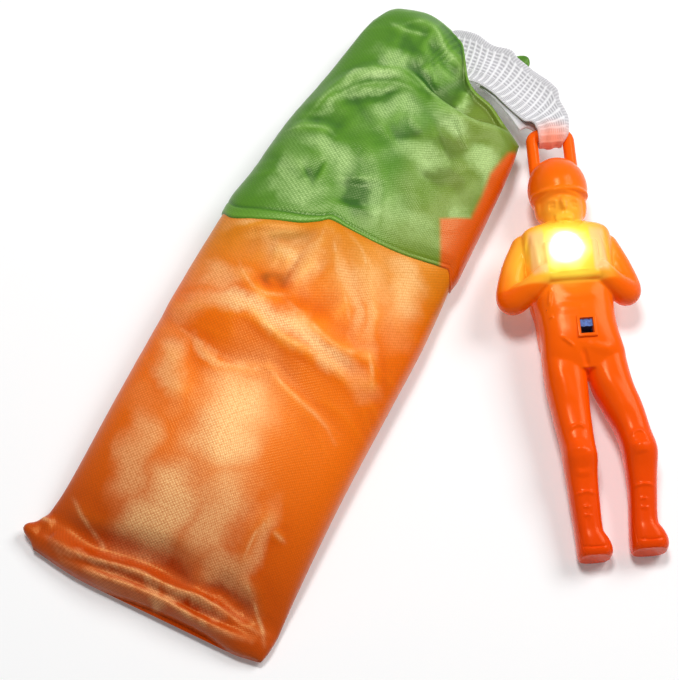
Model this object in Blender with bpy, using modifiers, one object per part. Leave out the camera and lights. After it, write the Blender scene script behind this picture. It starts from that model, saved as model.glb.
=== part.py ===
"""A packed toy parachute: a folded satin canopy, its knitted tape and a moulded figure with a lamp.

The frame is +Z up with the origin under the middle of the pack, on the surface that it lies on, and
+Y towards the end of the pack that the tape leaves. Lengths are in metres. Run it with
blender --background --python part.py

The figure lies on its back. Its own frame has its origin under the bar of its loop, X towards its
left arm, Y along the body towards the loop and Z out of its chest. Places along the figure are
counted from the bar towards the feet, and heights from the surface that it lies on.
"""

import math

import bmesh
import bpy
from mathutils import Matrix, Vector

# Fits shared by all pieces
CLEARANCE = 0.0003
SLIDING_CLEARANCE = 0.00015
SEAM_GAP = 0.0001
STACK_GAP = 0.0001
CUT_OVERRUN = 0.002
WELD_DISTANCE = 0.000001

# Canopy pack
PACK_LENGTH = 0.150
PACK_WIDTH = 0.054
PACK_HEIGHT = 0.0145
PACK_FOOT_FROM_ORIGIN = 0.071
PACK_FLAT = 0.0005
PACK_SECTIONS = 42
PACK_SIDES = 28
PACK_FOLD_HEIGHT = 0.0012
PACK_END_FROM_MOUTH = 0.012
PACK_BASE_RAMP = 0.006
MOUTH_LIFT = 0.0034
MOUTH_LIFT_REACH = 0.030
BUNDLE_EXPONENT = 2.6
SIDE_SEAM_SHARE = 0.38
# Along the pack from its foot, then its left and right edge, as shares of its width
PACK_EDGE_SHARES = (
    (0.000, -0.430, 0.455),
    (0.018, -0.490, 0.500),
    (0.032, -0.545, 0.512),
    (0.055, -0.500, 0.515),
    (0.110, -0.476, 0.506),
    (0.260, -0.481, 0.489),
    (0.410, -0.489, 0.485),
    (0.510, -0.491, 0.483),
    (0.580, -0.482, 0.472),
    (0.640, -0.458, 0.461),
    (0.740, -0.437, 0.450),
    (0.830, -0.396, 0.435),
    (0.880, -0.376, 0.410),
    (0.950, -0.340, 0.375),
    (1.000, -0.285, 0.335),
)
# Along the pack from its foot, then the height of its crown as a share of its height
PACK_CROWN_SHARES = (
    (0.000, 0.20),
    (0.012, 0.42),
    (0.035, 0.47),
    (0.058, 0.36),
    (0.080, 0.44),
    (0.120, 0.68),
    (0.200, 0.90),
    (0.330, 1.00),
    (0.600, 1.00),
    (0.760, 0.93),
    (0.860, 0.76),
    (0.930, 0.60),
    (1.000, 0.50),
)
# Ridges from one place to another: along, across, along, across, height and half width as shares
PACK_FOLD_SHARES = (
    (0.595, 0.05, 0.440, -0.75, 0.75, 0.020),
    (0.600, 0.25, 0.400, 0.62, 0.60, 0.018),
    (0.360, -0.70, 0.230, 0.35, 0.65, 0.024),
    (0.260, 0.15, 0.130, 0.80, 0.60, 0.020),
    (0.095, -0.90, 0.190, -0.62, 0.90, 0.012),
    (0.075, 0.10, 0.150, 0.02, 0.50, 0.012),
    (0.034, -0.95, 0.034, 0.95, 0.55, 0.012),
)

# Canopy sleeve
SLEEVE_THICKNESS = 0.0008
SLEEVE_GAP = 0.0005
SLEEVE_SECTIONS = 22
SLEEVE_LINING_SECTIONS = 16
SLEEVE_FOLD_HEIGHT = 0.0014
HEM_WIDTH = 0.0030
HEM_THICKNESS = 0.0005
BACK_LIP_LENGTH = 0.003
# Across the pack from its left edge to its right one, then the hem's place along the pack
HEM_SHARES = (
    (-1.00, 0.561),
    (-0.75, 0.590),
    (-0.30, 0.624),
    (0.00, 0.633),
    (0.45, 0.634),
    (0.80, 0.638),
    (1.00, 0.612),
)
# The same for the mouth at the other end
MOUTH_SHARES = (
    (-1.00, 0.945),
    (-0.75, 0.990),
    (-0.50, 0.999),
    (-0.25, 0.985),
    (0.05, 0.958),
    (0.25, 0.932),
    (0.50, 0.905),
    (0.78, 0.889),
    (1.00, 0.867),
)
SLEEVE_FOLD_SHARES = (
    (0.960, -0.75, 0.925, -0.10, 0.95, 0.014),
    (0.905, -0.85, 0.900, 0.20, 0.85, 0.014),
    (0.855, -0.55, 0.825, 0.75, 0.90, 0.016),
    (0.770, -0.90, 0.800, 0.10, 0.70, 0.018),
    (0.735, -0.25, 0.715, 0.85, 0.80, 0.017),
    (0.680, -0.80, 0.690, 0.30, 0.55, 0.016),
)

# Suspension tape
TAPE_WIDTH = 0.0113
TAPE_THICKNESS = 0.0009
TAPE_LAYER_GAP = 0.0003
TAPE_EXIT_SHARE = 0.20
TAPE_EXIT_HEADING = math.radians(-2.0)
TAPE_EXIT_LENGTH = 0.0108
TAPE_TAIL_LENGTH = 0.0085
TAPE_FOLD_HEADING = math.radians(-21.5)
TAPE_FOLD_HEIGHT = 0.0052
TAPE_SPAN = 0.0138
TAPE_SPAN_HEADING = math.radians(-23.7)
TAPE_GATHERED_WIDTH = 0.0048
TAPE_GATHERED_THICKNESS = 0.0022
TAPE_GATHER_START_SHARE = 0.64
TAPE_GATHER_END_SHARE = 0.835
TAPE_OPEN_START_SHARE = 0.45
TAPE_TURN_SHARE = 0.36
TAPE_STATIONS = 14
TAPE_WRAP_STATIONS = 8
TAPE_NOSE_STATIONS = 3

# Canopy tab
TAB_LENGTH = 0.0100
TAB_WIDTH = 0.0046
TAB_THICKNESS = 0.0006
TAB_OVERHANG = 0.0035
TAB_FROM_EDGE = 0.0010
# Along the tab, then its width there
TAB_SHARES = (
    (0.0, 0.6),
    (0.5, 1.0),
    (0.8, 0.8),
    (1.0, 0.3),
)

# Figure
FIGURE_TURN = math.radians(31.58)
FIGURE_LENGTH = 0.096
FIGURE_WIDTH = 0.031
FIGURE_DEPTH = 0.016
MOULD_VOXEL = 0.00050
BODY_EXPONENT = 2.8
TORSO_EXPONENT = 3.4
BODY_SIDES = 28
BODY_STEPS = 30
LIMB_BEADS = 22
SMOOTHING_PASSES = 4
DETAIL_SHARE = 0.085
# From the bar along the body, then middle, half width, back and front as shares of length, width
# and depth
TORSO_SHARES = (
    (0.238, 0.010, 0.150, 0.310, 0.690),
    (0.248, 0.010, 0.252, 0.250, 0.775),
    (0.261, 0.010, 0.300, 0.175, 0.850),
    (0.281, 0.010, 0.312, 0.150, 0.900),
    (0.323, 0.010, 0.306, 0.130, 0.935),
    (0.365, 0.012, 0.292, 0.130, 0.935),
    (0.406, 0.016, 0.274, 0.140, 0.905),
    (0.465, 0.023, 0.250, 0.150, 0.880),
    (0.507, 0.032, 0.265, 0.120, 0.875),
    (0.552, 0.045, 0.281, 0.110, 0.830),
    (0.594, 0.052, 0.277, 0.170, 0.735),
)
RIGHT_LEG_SHARES = (
    (0.542, -0.094, 0.145, 0.138, 0.787),
    (0.612, -0.090, 0.142, 0.125, 0.750),
    (0.688, -0.077, 0.126, 0.125, 0.700),
    (0.755, -0.060, 0.114, 0.110, 0.690),
    (0.785, -0.056, 0.116, 0.100, 0.720),
    (0.823, -0.055, 0.106, 0.075, 0.620),
    (0.875, -0.052, 0.100, 0.025, 0.560),
    (0.945, -0.044, 0.095, 0.000, 0.500),
    (0.960, -0.030, 0.108, -0.025, 0.500),
    (0.977, -0.020, 0.118, -0.030, 0.490),
    (0.992, -0.019, 0.117, -0.030, 0.475),
    (1.000, -0.023, 0.103, 0.013, 0.438),
)
LEFT_LEG_SHARES = (
    (0.542, 0.181, 0.139, 0.138, 0.787),
    (0.621, 0.216, 0.139, 0.125, 0.750),
    (0.677, 0.273, 0.131, 0.125, 0.713),
    (0.731, 0.322, 0.114, 0.113, 0.690),
    (0.778, 0.348, 0.116, 0.100, 0.720),
    (0.823, 0.345, 0.104, 0.075, 0.620),
    (0.865, 0.339, 0.096, 0.031, 0.560),
    (0.935, 0.323, 0.097, 0.000, 0.500),
    (0.950, 0.336, 0.114, -0.025, 0.500),
    (0.968, 0.347, 0.127, -0.030, 0.490),
    (0.984, 0.347, 0.126, -0.030, 0.475),
    (0.993, 0.345, 0.113, 0.013, 0.438),
)
BACKPACK_SHARES = (
    (0.252, 0.010, 0.240, -0.031, 0.310),
    (0.262, 0.010, 0.268, -0.031, 0.310),
    (0.400, 0.010, 0.266, -0.031, 0.310),
    (0.440, 0.012, 0.246, -0.031, 0.310),
    (0.500, 0.014, 0.237, -0.031, 0.310),
    (0.510, 0.014, 0.225, -0.031, 0.310),
)
# Middle across, along and high, then half sizes, as shares of width, length and depth
HEAD_SHARES = (
    (0.006, 0.146, 0.494, 0.210, 0.076, 0.425),
    (0.006, 0.172, 0.560, 0.206, 0.014, 0.360),
    (0.010, 0.196, 0.525, 0.162, 0.066, 0.330),
    (0.010, 0.205, 0.838, 0.028, 0.017, 0.062),
    (0.010, 0.238, 0.790, 0.070, 0.014, 0.045),
    (0.010, 0.250, 0.475, 0.135, 0.035, 0.250),
    (-0.150, 0.190, 0.512, 0.046, 0.034, 0.160),
    (0.170, 0.190, 0.512, 0.046, 0.034, 0.160),
)
# Across, along, high and radius along an arm, as shares of width, length, depth and width
RIGHT_ARM_SHARES = (
    (-0.265, 0.290, 0.500, 0.110),
    (-0.361, 0.347, 0.512, 0.100),
    (-0.403, 0.412, 0.550, 0.103),
    (-0.290, 0.405, 0.738, 0.084),
    (-0.172, 0.378, 0.863, 0.074),
)
LEFT_ARM_SHARES = (
    (0.277, 0.298, 0.500, 0.106),
    (0.355, 0.354, 0.512, 0.100),
    (0.390, 0.408, 0.550, 0.102),
    (0.300, 0.402, 0.738, 0.084),
    (0.214, 0.376, 0.863, 0.074),
)
CHEST_PACK_WIDTH = 0.0116
CHEST_PACK_ABOVE_LAMP = 0.0015
CHEST_PACK_BELOW_LAMP = 0.0077
CHEST_PACK_FRONT = 0.0160
CHEST_PACK_ROUNDING = 0.0012
BACKPACK_EXPONENT = 6.0
PARTING_HEIGHT = 0.0070
BACK_HALF_TOP_SHARE = 0.125

# Loop
LOOP_HEIGHT = 0.0070
LOOP_BAR_RADIUS = 0.00133
LOOP_WIDTH = 0.0107
LOOP_BEND_RADIUS = 0.0017
LOOP_BEND_POINTS = 4
LOOP_ROOT_SHARE = 0.117

# Button cells
CELL_COUNT = 3
CELL_DIAMETER = 0.0079
CELL_HEIGHT = 0.0036
CELL_CAP_DIAMETER = 0.0062
CELL_CAP_HEIGHT = 0.0005
CELL_BACK = 0.0026

# Contacts
CONTACT_THICKNESS = 0.0003
CONTACT_WIDTH = 0.0060
CONTACT_TAB_HEIGHT = 0.0016

# Lamp
LAMP_PLACE_SHARE = 0.318
LAMP_OFFSET = 0.0005
LAMP_DIAMETER = 0.0050
LAMP_FLANGE_DIAMETER = 0.0058
LAMP_FLANGE_THICKNESS = 0.0010
LAMP_FLANGE_BACK = 0.0045
LAMP_LENGTH = 0.0086
LAMP_LEAD_PITCH = 0.00254
LAMP_LEAD_SIZE = 0.0005
LAMP_LEAD_DROP = 0.0007
LAMP_DOME_STEPS = 5

# Lamp housing
HOUSING_BACK = 0.0024
HOUSING_WALL = 0.0007
HOUSING_CHAMFER = 0.0012
BAY_CHAMFER = 0.0007
HOUSING_ABOVE_LAMP = 0.0046
CHEEK_FRONT = 0.0109
WELL_WIDTH = 0.0102
WIRE_HOLE_DIAMETER = 0.0013

# Switch
SWITCH_OFFSET = 0.0020
SWITCH_FROM_HOUSING = 0.0049
SWITCH_CASE_WIDTH = 0.0044
SWITCH_CASE_LENGTH = 0.0066
SWITCH_CASE_BACK = 0.0083
SWITCH_CASE_HEIGHT = 0.0033
SWITCH_WALL = 0.0006
SWITCH_TRAVEL = 0.0016
KNOB_WIDTH = 0.0025
KNOB_LENGTH = 0.0016
KNOB_FRONT = 0.0137
KNOB_FOOT_THICKNESS = 0.0009
KNOB_RIB_WIDTH = 0.0004
KNOB_RIB_HEIGHT = 0.0002
BEZEL_WIDTH = 0.0007
BEZEL_FRONT = 0.0143

# Circuit board
BOARD_THICKNESS = 0.0008
BOARD_WIDTH = 0.0080
BOARD_LENGTH = 0.0074
TERMINAL_DIAMETER = 0.0006
TERMINAL_LENGTH = 0.0014
TERMINAL_COUNT = 3
TERMINAL_PITCH = 0.0020

# Wires
WIRE_DIAMETER = 0.0007
WIRE_RUN_HEIGHT = 0.01238
WIRE_CROSSING_SHARES = (0.3, 0.6)

# Battery door
DOOR_WIDTH = 0.0122
DOOR_THICKNESS = 0.0010
DOOR_RIM = 0.0007
DOOR_CORNER = 0.0008
SCREW_FROM_CELLS = 0.0017
SCREW_HEAD_DIAMETER = 0.0026
SCREW_HEAD_HEIGHT = 0.0005
SCREW_SHANK_DIAMETER = 0.0011
SCREW_LENGTH = 0.0050
SCREW_SLOT_LENGTH = 0.0018
SCREW_SLOT_WIDTH = 0.0004
SCREW_SLOT_DEPTH = 0.0002

# Locating pins
PIN_DIAMETER = 0.0016
PIN_LENGTH = 0.0020
PIN_PLACE_SHARES = ((0.010, 0.175), (-0.075, 0.705), (0.300, 0.705))

ROUND_SIDES = 20
SMALL_ROUND_SIDES = 12


def clear_scene():
    for item in list(bpy.data.objects):
        bpy.data.objects.remove(item)


def add_collection(name):
    collection = bpy.data.collections.new(name)
    bpy.context.scene.collection.children.link(collection)
    return collection


clear_scene()
PARTS = add_collection("toy_parachute")
CUTTERS = add_collection("cutters")


def plastic(name, colour, roughness, metallic=0.0, transmission=0.0):
    """A Principled material of one colour"""
    material = bpy.data.materials.new(name)
    material.use_nodes = True
    shader = material.node_tree.nodes["Principled BSDF"]
    shader.inputs["Base Color"].default_value = (*colour, 1.0)
    shader.inputs["Roughness"].default_value = roughness
    shader.inputs["Metallic"].default_value = metallic
    shader.inputs["Transmission Weight"].default_value = transmission
    return material


ORANGE_SATIN = plastic("orange_satin", (0.86, 0.30, 0.05), 0.35)
GREEN_SATIN = plastic("green_satin", (0.14, 0.40, 0.04), 0.35)
WHITE_KNIT = plastic("white_knit", (0.78, 0.75, 0.76), 0.80)
ORANGE_SHELL = plastic("orange_shell", (0.95, 0.17, 0.01), 0.20, transmission=0.3)
WHITE_CARRIER = plastic("white_carrier", (0.85, 0.80, 0.72), 0.45)
CLEAR_LAMP = plastic("clear_lamp", (1.0, 0.92, 0.70), 0.10, transmission=0.8)
BLUE_KNOB = plastic("blue_knob", (0.05, 0.16, 0.55), 0.25)
NAVY_CASE = plastic("navy_case", (0.02, 0.03, 0.12), 0.30)
CELL_STEEL = plastic("cell_steel", (0.62, 0.62, 0.60), 0.30, metallic=1.0)
CONTACT_METAL = plastic("contact_metal", (0.72, 0.62, 0.40), 0.30, metallic=1.0)
BOARD_LAMINATE = plastic("board_laminate", (0.02, 0.18, 0.06), 0.40)
RED_SHEATH = plastic("red_sheath", (0.60, 0.02, 0.02), 0.40)
BLACK_SHEATH = plastic("black_sheath", (0.01, 0.01, 0.01), 0.40)


def add_part(name, mesh, material, parent=None, location=(0.0, 0.0, 0.0)):
    """Put a mesh in the model as a sub-part"""
    part = bpy.data.objects.new(name, mesh)
    PARTS.objects.link(part)
    mesh.materials.clear()
    mesh.materials.append(material)
    part.parent = parent
    part.location = location
    return part


def add_cutter(name, mesh, parent=None, location=(0.0, 0.0, 0.0)):
    """Put a mesh beside the model as a tool that cuts or joins"""
    cutter = bpy.data.objects.new(name, mesh)
    CUTTERS.objects.link(cutter)
    cutter.parent = parent
    cutter.location = location
    cutter.hide_render = True
    cutter.display_type = "WIRE"
    return cutter


def combine(part, cutter, operation):
    """Cut, join or intersect a part with a cutter"""
    modifier = part.modifiers.new(cutter.name, "BOOLEAN")
    modifier.operation = operation
    modifier.object = cutter
    modifier.solver = "EXACT"


def mesh_of(bm, name):
    mesh = bpy.data.meshes.new(name)
    bm.to_mesh(mesh)
    bm.free()
    return mesh


def evaluated_mesh(item, name):
    """The mesh that an object shows with its modifiers on"""
    bpy.context.view_layer.update()
    graph = bpy.context.evaluated_depsgraph_get()
    mesh = bpy.data.meshes.new_from_object(item.evaluated_get(graph))
    mesh.name = name
    return mesh


def smooth_shade(mesh, angle=math.radians(40.0)):
    mesh.shade_smooth()
    mesh.set_sharp_from_angle(angle=angle)


def loft(rings, closed=False):
    """Skin rings that have the same number of points"""
    bm = bmesh.new()
    loops = [[bm.verts.new(point) for point in ring] for ring in rings]
    pairs = list(zip(loops, loops[1:]))
    if closed:
        pairs.append((loops[-1], loops[0]))
    for first, second in pairs:
        count = len(first)
        for index in range(count):
            after = (index + 1) % count
            bm.faces.new((first[index], first[after], second[after], second[index]))
    if not closed:
        bm.faces.new(reversed(loops[0]))
        bm.faces.new(loops[-1])
    bmesh.ops.recalc_face_normals(bm, faces=bm.faces)
    return bm


def cut_flat(bm, height):
    """Cut away all that lies under a height and close the cut"""
    geometry = bm.verts[:] + bm.edges[:] + bm.faces[:]
    bmesh.ops.bisect_plane(
        bm, geom=geometry, dist=WELD_DISTANCE / 10, plane_co=(0.0, 0.0, height), plane_no=(0.0, 0.0, -1.0),
        clear_outer=True,
    )
    rim = [edge for edge in bm.edges if edge.is_boundary]
    bmesh.ops.holes_fill(bm, edges=rim, sides=0)
    bmesh.ops.recalc_face_normals(bm, faces=bm.faces)


def box(low, high):
    """A block between two corners"""
    low = Vector(low)
    high = Vector(high)
    bm = bmesh.new()
    matrix = Matrix.Translation((low + high) / 2) @ Matrix.Diagonal((*(high - low), 1.0))
    bmesh.ops.create_cube(bm, size=1.0, matrix=matrix)
    return bm


def cylinder(centre, radius, length, sides=ROUND_SIDES):
    """An upright round bar that stands on a point"""
    middle = Vector(centre) + Vector((0.0, 0.0, length / 2))
    bm = bmesh.new()
    bmesh.ops.create_cone(
        bm, cap_ends=True, segments=sides, radius1=radius, radius2=radius, depth=length,
        matrix=Matrix.Translation(middle),
    )
    return bm


def join_meshes(meshes, name):
    """Several meshes as one, left as separate bodies"""
    bm = bmesh.new()
    for mesh in meshes:
        bm.from_mesh(mesh)
    return mesh_of(bm, name)


def tube(name, points, radius, sides_level=1):
    """A wire or bar along points, as a closed mesh"""
    curve = bpy.data.curves.new(name, "CURVE")
    curve.dimensions = "3D"
    curve.bevel_depth = radius
    curve.bevel_resolution = sides_level
    curve.use_fill_caps = True
    spline = curve.splines.new("POLY")
    spline.points.add(len(points) - 1)
    for point, place in zip(spline.points, points):
        point.co = (*place, 1.0)
    guide = bpy.data.objects.new(name, curve)
    CUTTERS.objects.link(guide)
    mesh = evaluated_mesh(guide, name)
    bpy.data.objects.remove(guide)
    bm = bmesh.new()
    bm.from_mesh(mesh)
    bmesh.ops.remove_doubles(bm, verts=bm.verts, dist=WELD_DISTANCE)
    bmesh.ops.recalc_face_normals(bm, faces=bm.faces)
    return mesh_of(bm, name)


def smooth_step(share):
    share = min(max(share, 0.0), 1.0)
    return share * share * (3.0 - 2.0 * share)


def blend(first, second, share):
    return first + (second - first) * share


def curve_at(rows, position, column=1):
    """Read a column of a table at a place along its first column, on a smooth curve"""
    keys = [row[0] for row in rows]
    if position <= keys[0]:
        return rows[0][column]
    if position >= keys[-1]:
        return rows[-1][column]
    index = max(place for place in range(len(rows) - 1) if keys[place] <= position)

    def slope(place):
        before = max(place - 1, 0)
        after = min(place + 1, len(rows) - 1)
        return (rows[after][column] - rows[before][column]) / (keys[after] - keys[before])

    step = keys[index + 1] - keys[index]
    t = (position - keys[index]) / step
    start = rows[index][column]
    end = rows[index + 1][column]
    return (
        (2 * t**3 - 3 * t**2 + 1) * start + (t**3 - 2 * t**2 + t) * step * slope(index)
        + (-2 * t**3 + 3 * t**2) * end + (t**3 - t**2) * step * slope(index + 1)
    )


def curve_rows(rows, count):
    """A table of equally spaced rows on the smooth curves through a table"""
    first = rows[0][0]
    last = rows[-1][0]
    places = [blend(first, last, index / (count - 1)) for index in range(count)]
    columns = range(1, len(rows[0]))
    return [(place, *(curve_at(rows, place, column) for column in columns)) for place in places]


# Canopy: where the folded bundle's surface lies


def pack_y(share):
    return share * PACK_LENGTH - PACK_FOOT_FROM_ORIGIN


def hem_y(across):
    return pack_y(curve_at(HEM_SHARES, across))


def mouth_y(across):
    return pack_y(curve_at(MOUTH_SHARES, across))


def bundle_edges(y):
    share = (y + PACK_FOOT_FROM_ORIGIN) / PACK_LENGTH
    left = curve_at(PACK_EDGE_SHARES, share, 1) * PACK_WIDTH
    right = curve_at(PACK_EDGE_SHARES, share, 2) * PACK_WIDTH
    return left, right


def covered_base():
    """How high the pack lies where the sleeve passes under it"""
    return SLEEVE_THICKNESS + SLEEVE_GAP - PACK_FLAT


def bundle_levels(y, across):
    """Underside and crown of the plain bundle at a place along and across it"""
    share = (y + PACK_FOOT_FROM_ORIGIN) / PACK_LENGTH
    crown = curve_at(PACK_CROWN_SHARES, share) * PACK_HEIGHT
    cover = smooth_step((y - hem_y(across)) / PACK_BASE_RAMP + 1.0)
    base = blend(-PACK_FLAT, covered_base(), cover)
    lift = MOUTH_LIFT * (1.0 - smooth_step((mouth_y(across) - y) / MOUTH_LIFT_REACH))
    return base + lift, crown


def fold_height(folds, y, across):
    """Height that the ridges of a table add at a place, as a share of the fold height"""
    share = (y + PACK_FOOT_FROM_ORIGIN) / PACK_LENGTH
    half_share = PACK_WIDTH / PACK_LENGTH / 2
    total = 0.0
    for start_along, start_across, end_along, end_across, height, width in folds:
        start = Vector((start_along, start_across * half_share))
        run = Vector((end_along, end_across * half_share)) - start
        place = Vector((share, across * half_share)) - start
        along = min(max(place.dot(run) / run.length_squared, 0.0), 1.0)
        distance = (place - run * along).length
        total += height * math.exp(-((distance / width) ** 2))
    return total


def bundle_ring(start, end, share, grow, folds=(), fold_size=0.0):
    """Points round the bundle, from a start line to an end line, moved out from its plain surface"""
    ring = []
    for index in range(PACK_SIDES):
        angle = math.tau * index / PACK_SIDES
        across = math.copysign(abs(math.cos(angle)) ** (2.0 / BUNDLE_EXPONENT), math.cos(angle))
        rise = math.copysign(abs(math.sin(angle)) ** (2.0 / BUNDLE_EXPONENT), math.sin(angle))
        y = blend(start(across, rise), end(across, rise), share)
        left, right = bundle_edges(y)
        base, crown = bundle_levels(y, across)
        seam = blend(base, crown, SIDE_SEAM_SHARE)
        x = (left + right) / 2 + ((right - left) / 2 + grow) * across
        if rise >= 0.0:
            ridge = fold_height(folds, y, across) * fold_size if folds else 0.0
            z = seam + (crown + grow + ridge - seam) * rise
        else:
            z = seam - (seam - base + grow) * -rise
        ring.append((x, y, z))
    return ring


def make_canopy_pack():
    def foot(across, rise):
        return pack_y(0.0)

    def head(across, rise):
        return mouth_y(across) - PACK_END_FROM_MOUTH

    rings = []
    for index in range(PACK_SECTIONS):
        share = index / (PACK_SECTIONS - 1)
        uncovered = 1.0 - smooth_step((share - HEM_SHARES[0][1]) / (HEM_SHARES[1][1] - HEM_SHARES[0][1]))
        rings.append(bundle_ring(foot, head, share, 0.0, PACK_FOLD_SHARES, PACK_FOLD_HEIGHT * uncovered))
    bm = loft(rings)
    cut_flat(bm, 0.0)
    mesh = mesh_of(bm, "canopy_pack")
    mesh.shade_smooth()
    return add_part("canopy_pack", mesh, ORANGE_SATIN)


def make_canopy_sleeve():
    def hem(across, rise):
        return hem_y(across)

    def mouth(across, rise):
        return mouth_y(across) + max(-rise, 0.0) * (1.0 - across * across) * BACK_LIP_LENGTH

    hem_share = HEM_WIDTH / (mouth_y(0.0) - hem_y(0.0))
    rings = []
    for index in range(SLEEVE_SECTIONS):
        share = index / (SLEEVE_SECTIONS - 1)
        turned = 1.0 - smooth_step(share / hem_share - 0.5)
        grow = SLEEVE_GAP + SLEEVE_THICKNESS + HEM_THICKNESS * turned
        folded = SLEEVE_FOLD_HEIGHT * (1.0 - turned)
        rings.append(bundle_ring(hem, mouth, share, grow, SLEEVE_FOLD_SHARES, folded))
    for index in range(SLEEVE_LINING_SECTIONS):
        share = 1.0 - index / (SLEEVE_LINING_SECTIONS - 1)
        rings.append(bundle_ring(hem, mouth, share, SLEEVE_GAP))
    bm = loft(rings, closed=True)
    cut_flat(bm, 0.0)
    mesh = mesh_of(bm, "canopy_sleeve")
    mesh.shade_smooth()
    return add_part("canopy_sleeve", mesh, GREEN_SATIN)


# Tape: its two layers leave the mouth, fold at a line beside it and wrap the figure's loop


def heading_vector(heading):
    return Vector((math.cos(heading), math.sin(heading), 0.0))


def exit_place():
    y = mouth_y(TAPE_EXIT_SHARE)
    left, right = bundle_edges(y)
    return Vector(((left + right) / 2 + (right - left) / 2 * TAPE_EXIT_SHARE, y, TAPE_FOLD_HEIGHT))


FOLD_PLACE = exit_place() + heading_vector(TAPE_EXIT_HEADING) * TAPE_EXIT_LENGTH
FOLD_DIRECTION = heading_vector(TAPE_FOLD_HEADING)
LOOP_PLACE = FOLD_PLACE + heading_vector(TAPE_SPAN_HEADING) * TAPE_SPAN
LOOP_PLACE.z = LOOP_HEIGHT
FIGURE_UP = Vector((-math.sin(FIGURE_TURN), math.cos(FIGURE_TURN), 0.0))
NOSE_RADIUS = TAPE_THICKNESS + TAPE_LAYER_GAP / 2


def bezier(points, share):
    """Place and direction on a cubic curve"""
    a, b, c, d = points
    rest = 1.0 - share
    place = a * rest**3 + b * (3 * rest**2 * share) + c * (3 * rest * share**2) + d * share**3
    run = (b - a) * rest**2 + (c - b) * (2 * rest * share) + (d - c) * share**2
    return place, run.normalized()


def tape_section(centre, side, out, left, right, thickness):
    """Eight points of a flat strip's rounded section"""
    half = thickness / 2
    corner = half / 2
    places = (
        (-left, corner), (-left + half, half), (right - half, half), (right, corner),
        (right, -corner), (right - half, -half), (-left + half, -half), (-left, -corner),
    )
    return [centre + side * across + out * up for across, up in places]


def make_tape_tail():
    """The doubled end of the tape, sewn in at the mouth"""
    turn_back = heading_vector(TAPE_EXIT_HEADING)
    end = FOLD_PLACE - FOLD_DIRECTION * (NOSE_RADIUS + CLEARANCE)
    start = exit_place() - turn_back * TAPE_TAIL_LENGTH
    reach = (end - start).length * TAPE_TURN_SHARE
    route = (start, start + turn_back * reach, end - FOLD_DIRECTION * reach, end)
    rings = []
    for index in range(TAPE_STATIONS):
        place, run = bezier(route, index / (TAPE_STATIONS - 1))
        side = run.cross(Vector((0.0, 0.0, 1.0)))
        rings.append(tape_section(place, side, Vector((0.0, 0.0, 1.0)), TAPE_WIDTH / 2, TAPE_WIDTH / 2,
                                  2 * NOSE_RADIUS))
    return add_part("tape_tail", mesh_of(loft(rings), "tape_tail"), WHITE_KNIT)


def make_tape_strap(axis):
    """The free stretch of the tape, a flat ring from the fold round the bar of the loop"""
    reach = TAPE_SPAN * TAPE_TURN_SHARE
    route = (FOLD_PLACE, FOLD_PLACE + FOLD_DIRECTION * reach, LOOP_PLACE + FIGURE_UP * reach, LOOP_PLACE)
    up = Vector((0.0, 0.0, 1.0))

    def layer(share, sign):
        place, run = bezier(route, share)
        place.z = blend(TAPE_FOLD_HEIGHT, LOOP_HEIGHT, smooth_step(share))
        side = Vector((run.x, run.y, 0.0)).normalized().cross(up)
        gather_span = TAPE_GATHER_END_SHARE - TAPE_GATHER_START_SHARE
        gather = smooth_step((share - TAPE_GATHER_START_SHARE) / gather_span)
        half = blend(TAPE_WIDTH, TAPE_GATHERED_WIDTH, gather) / 2
        thickness = blend(TAPE_THICKNESS, TAPE_GATHERED_THICKNESS, gather)
        opened = smooth_step((share - TAPE_OPEN_START_SHARE) / (1.0 - TAPE_OPEN_START_SHARE))
        inner = blend(TAPE_LAYER_GAP / 2, LOOP_BAR_RADIUS + CLEARANCE, opened)
        centre = place + up * (sign * (inner + thickness / 2))
        return tape_section(centre, side, up * sign, half, half, thickness)

    def wrap(centre, run, inner, thickness, half, share):
        angle = math.pi * (0.5 - share)
        out = up * math.sin(angle) + run * math.cos(angle)
        side = run.cross(up)
        return tape_section(centre + out * (inner + thickness / 2), side, out, half, half, thickness)

    rings = [layer(index / (TAPE_STATIONS - 1), 1.0) for index in range(TAPE_STATIONS)]
    for index in range(1, TAPE_WRAP_STATIONS):
        rings.append(wrap(LOOP_PLACE, -FIGURE_UP, LOOP_BAR_RADIUS + CLEARANCE, TAPE_GATHERED_THICKNESS,
                          TAPE_GATHERED_WIDTH / 2, index / TAPE_WRAP_STATIONS))
    rings += [layer(1.0 - index / (TAPE_STATIONS - 1), -1.0) for index in range(TAPE_STATIONS)]
    for index in range(1, TAPE_NOSE_STATIONS):
        share = 1.0 - index / TAPE_NOSE_STATIONS
        rings.append(wrap(FOLD_PLACE, -FOLD_DIRECTION, TAPE_LAYER_GAP / 2, TAPE_THICKNESS, TAPE_WIDTH / 2,
                          share))
    for ring in rings:
        for index, point in enumerate(ring):
            ring[index] = point - FOLD_PLACE
    return add_part("tape_strap", mesh_of(loft(rings, closed=True), "tape_strap"), WHITE_KNIT, axis)


def make_canopy_tab():
    """A corner of the green cloth that shows past the tape"""
    side = FOLD_DIRECTION.cross(Vector((0.0, 0.0, -1.0)))
    edge = FOLD_PLACE + side * (TAPE_WIDTH / 2 - TAB_LENGTH + TAB_OVERHANG)
    level = Vector((0.0, 0.0, NOSE_RADIUS + CLEARANCE + TAB_THICKNESS / 2))
    start = edge - FOLD_DIRECTION * TAB_FROM_EDGE - level
    rings = []
    for share, width_share in TAB_SHARES:
        centre = start + side * (TAB_LENGTH * share)
        half = TAB_WIDTH * width_share / 2
        rings.append(tape_section(centre, FOLD_DIRECTION, Vector((0.0, 0.0, 1.0)), half, half, TAB_THICKNESS))
    return add_part("canopy_tab", mesh_of(loft(rings), "canopy_tab"), GREEN_SATIN)


# Figure: the moulded body


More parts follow.
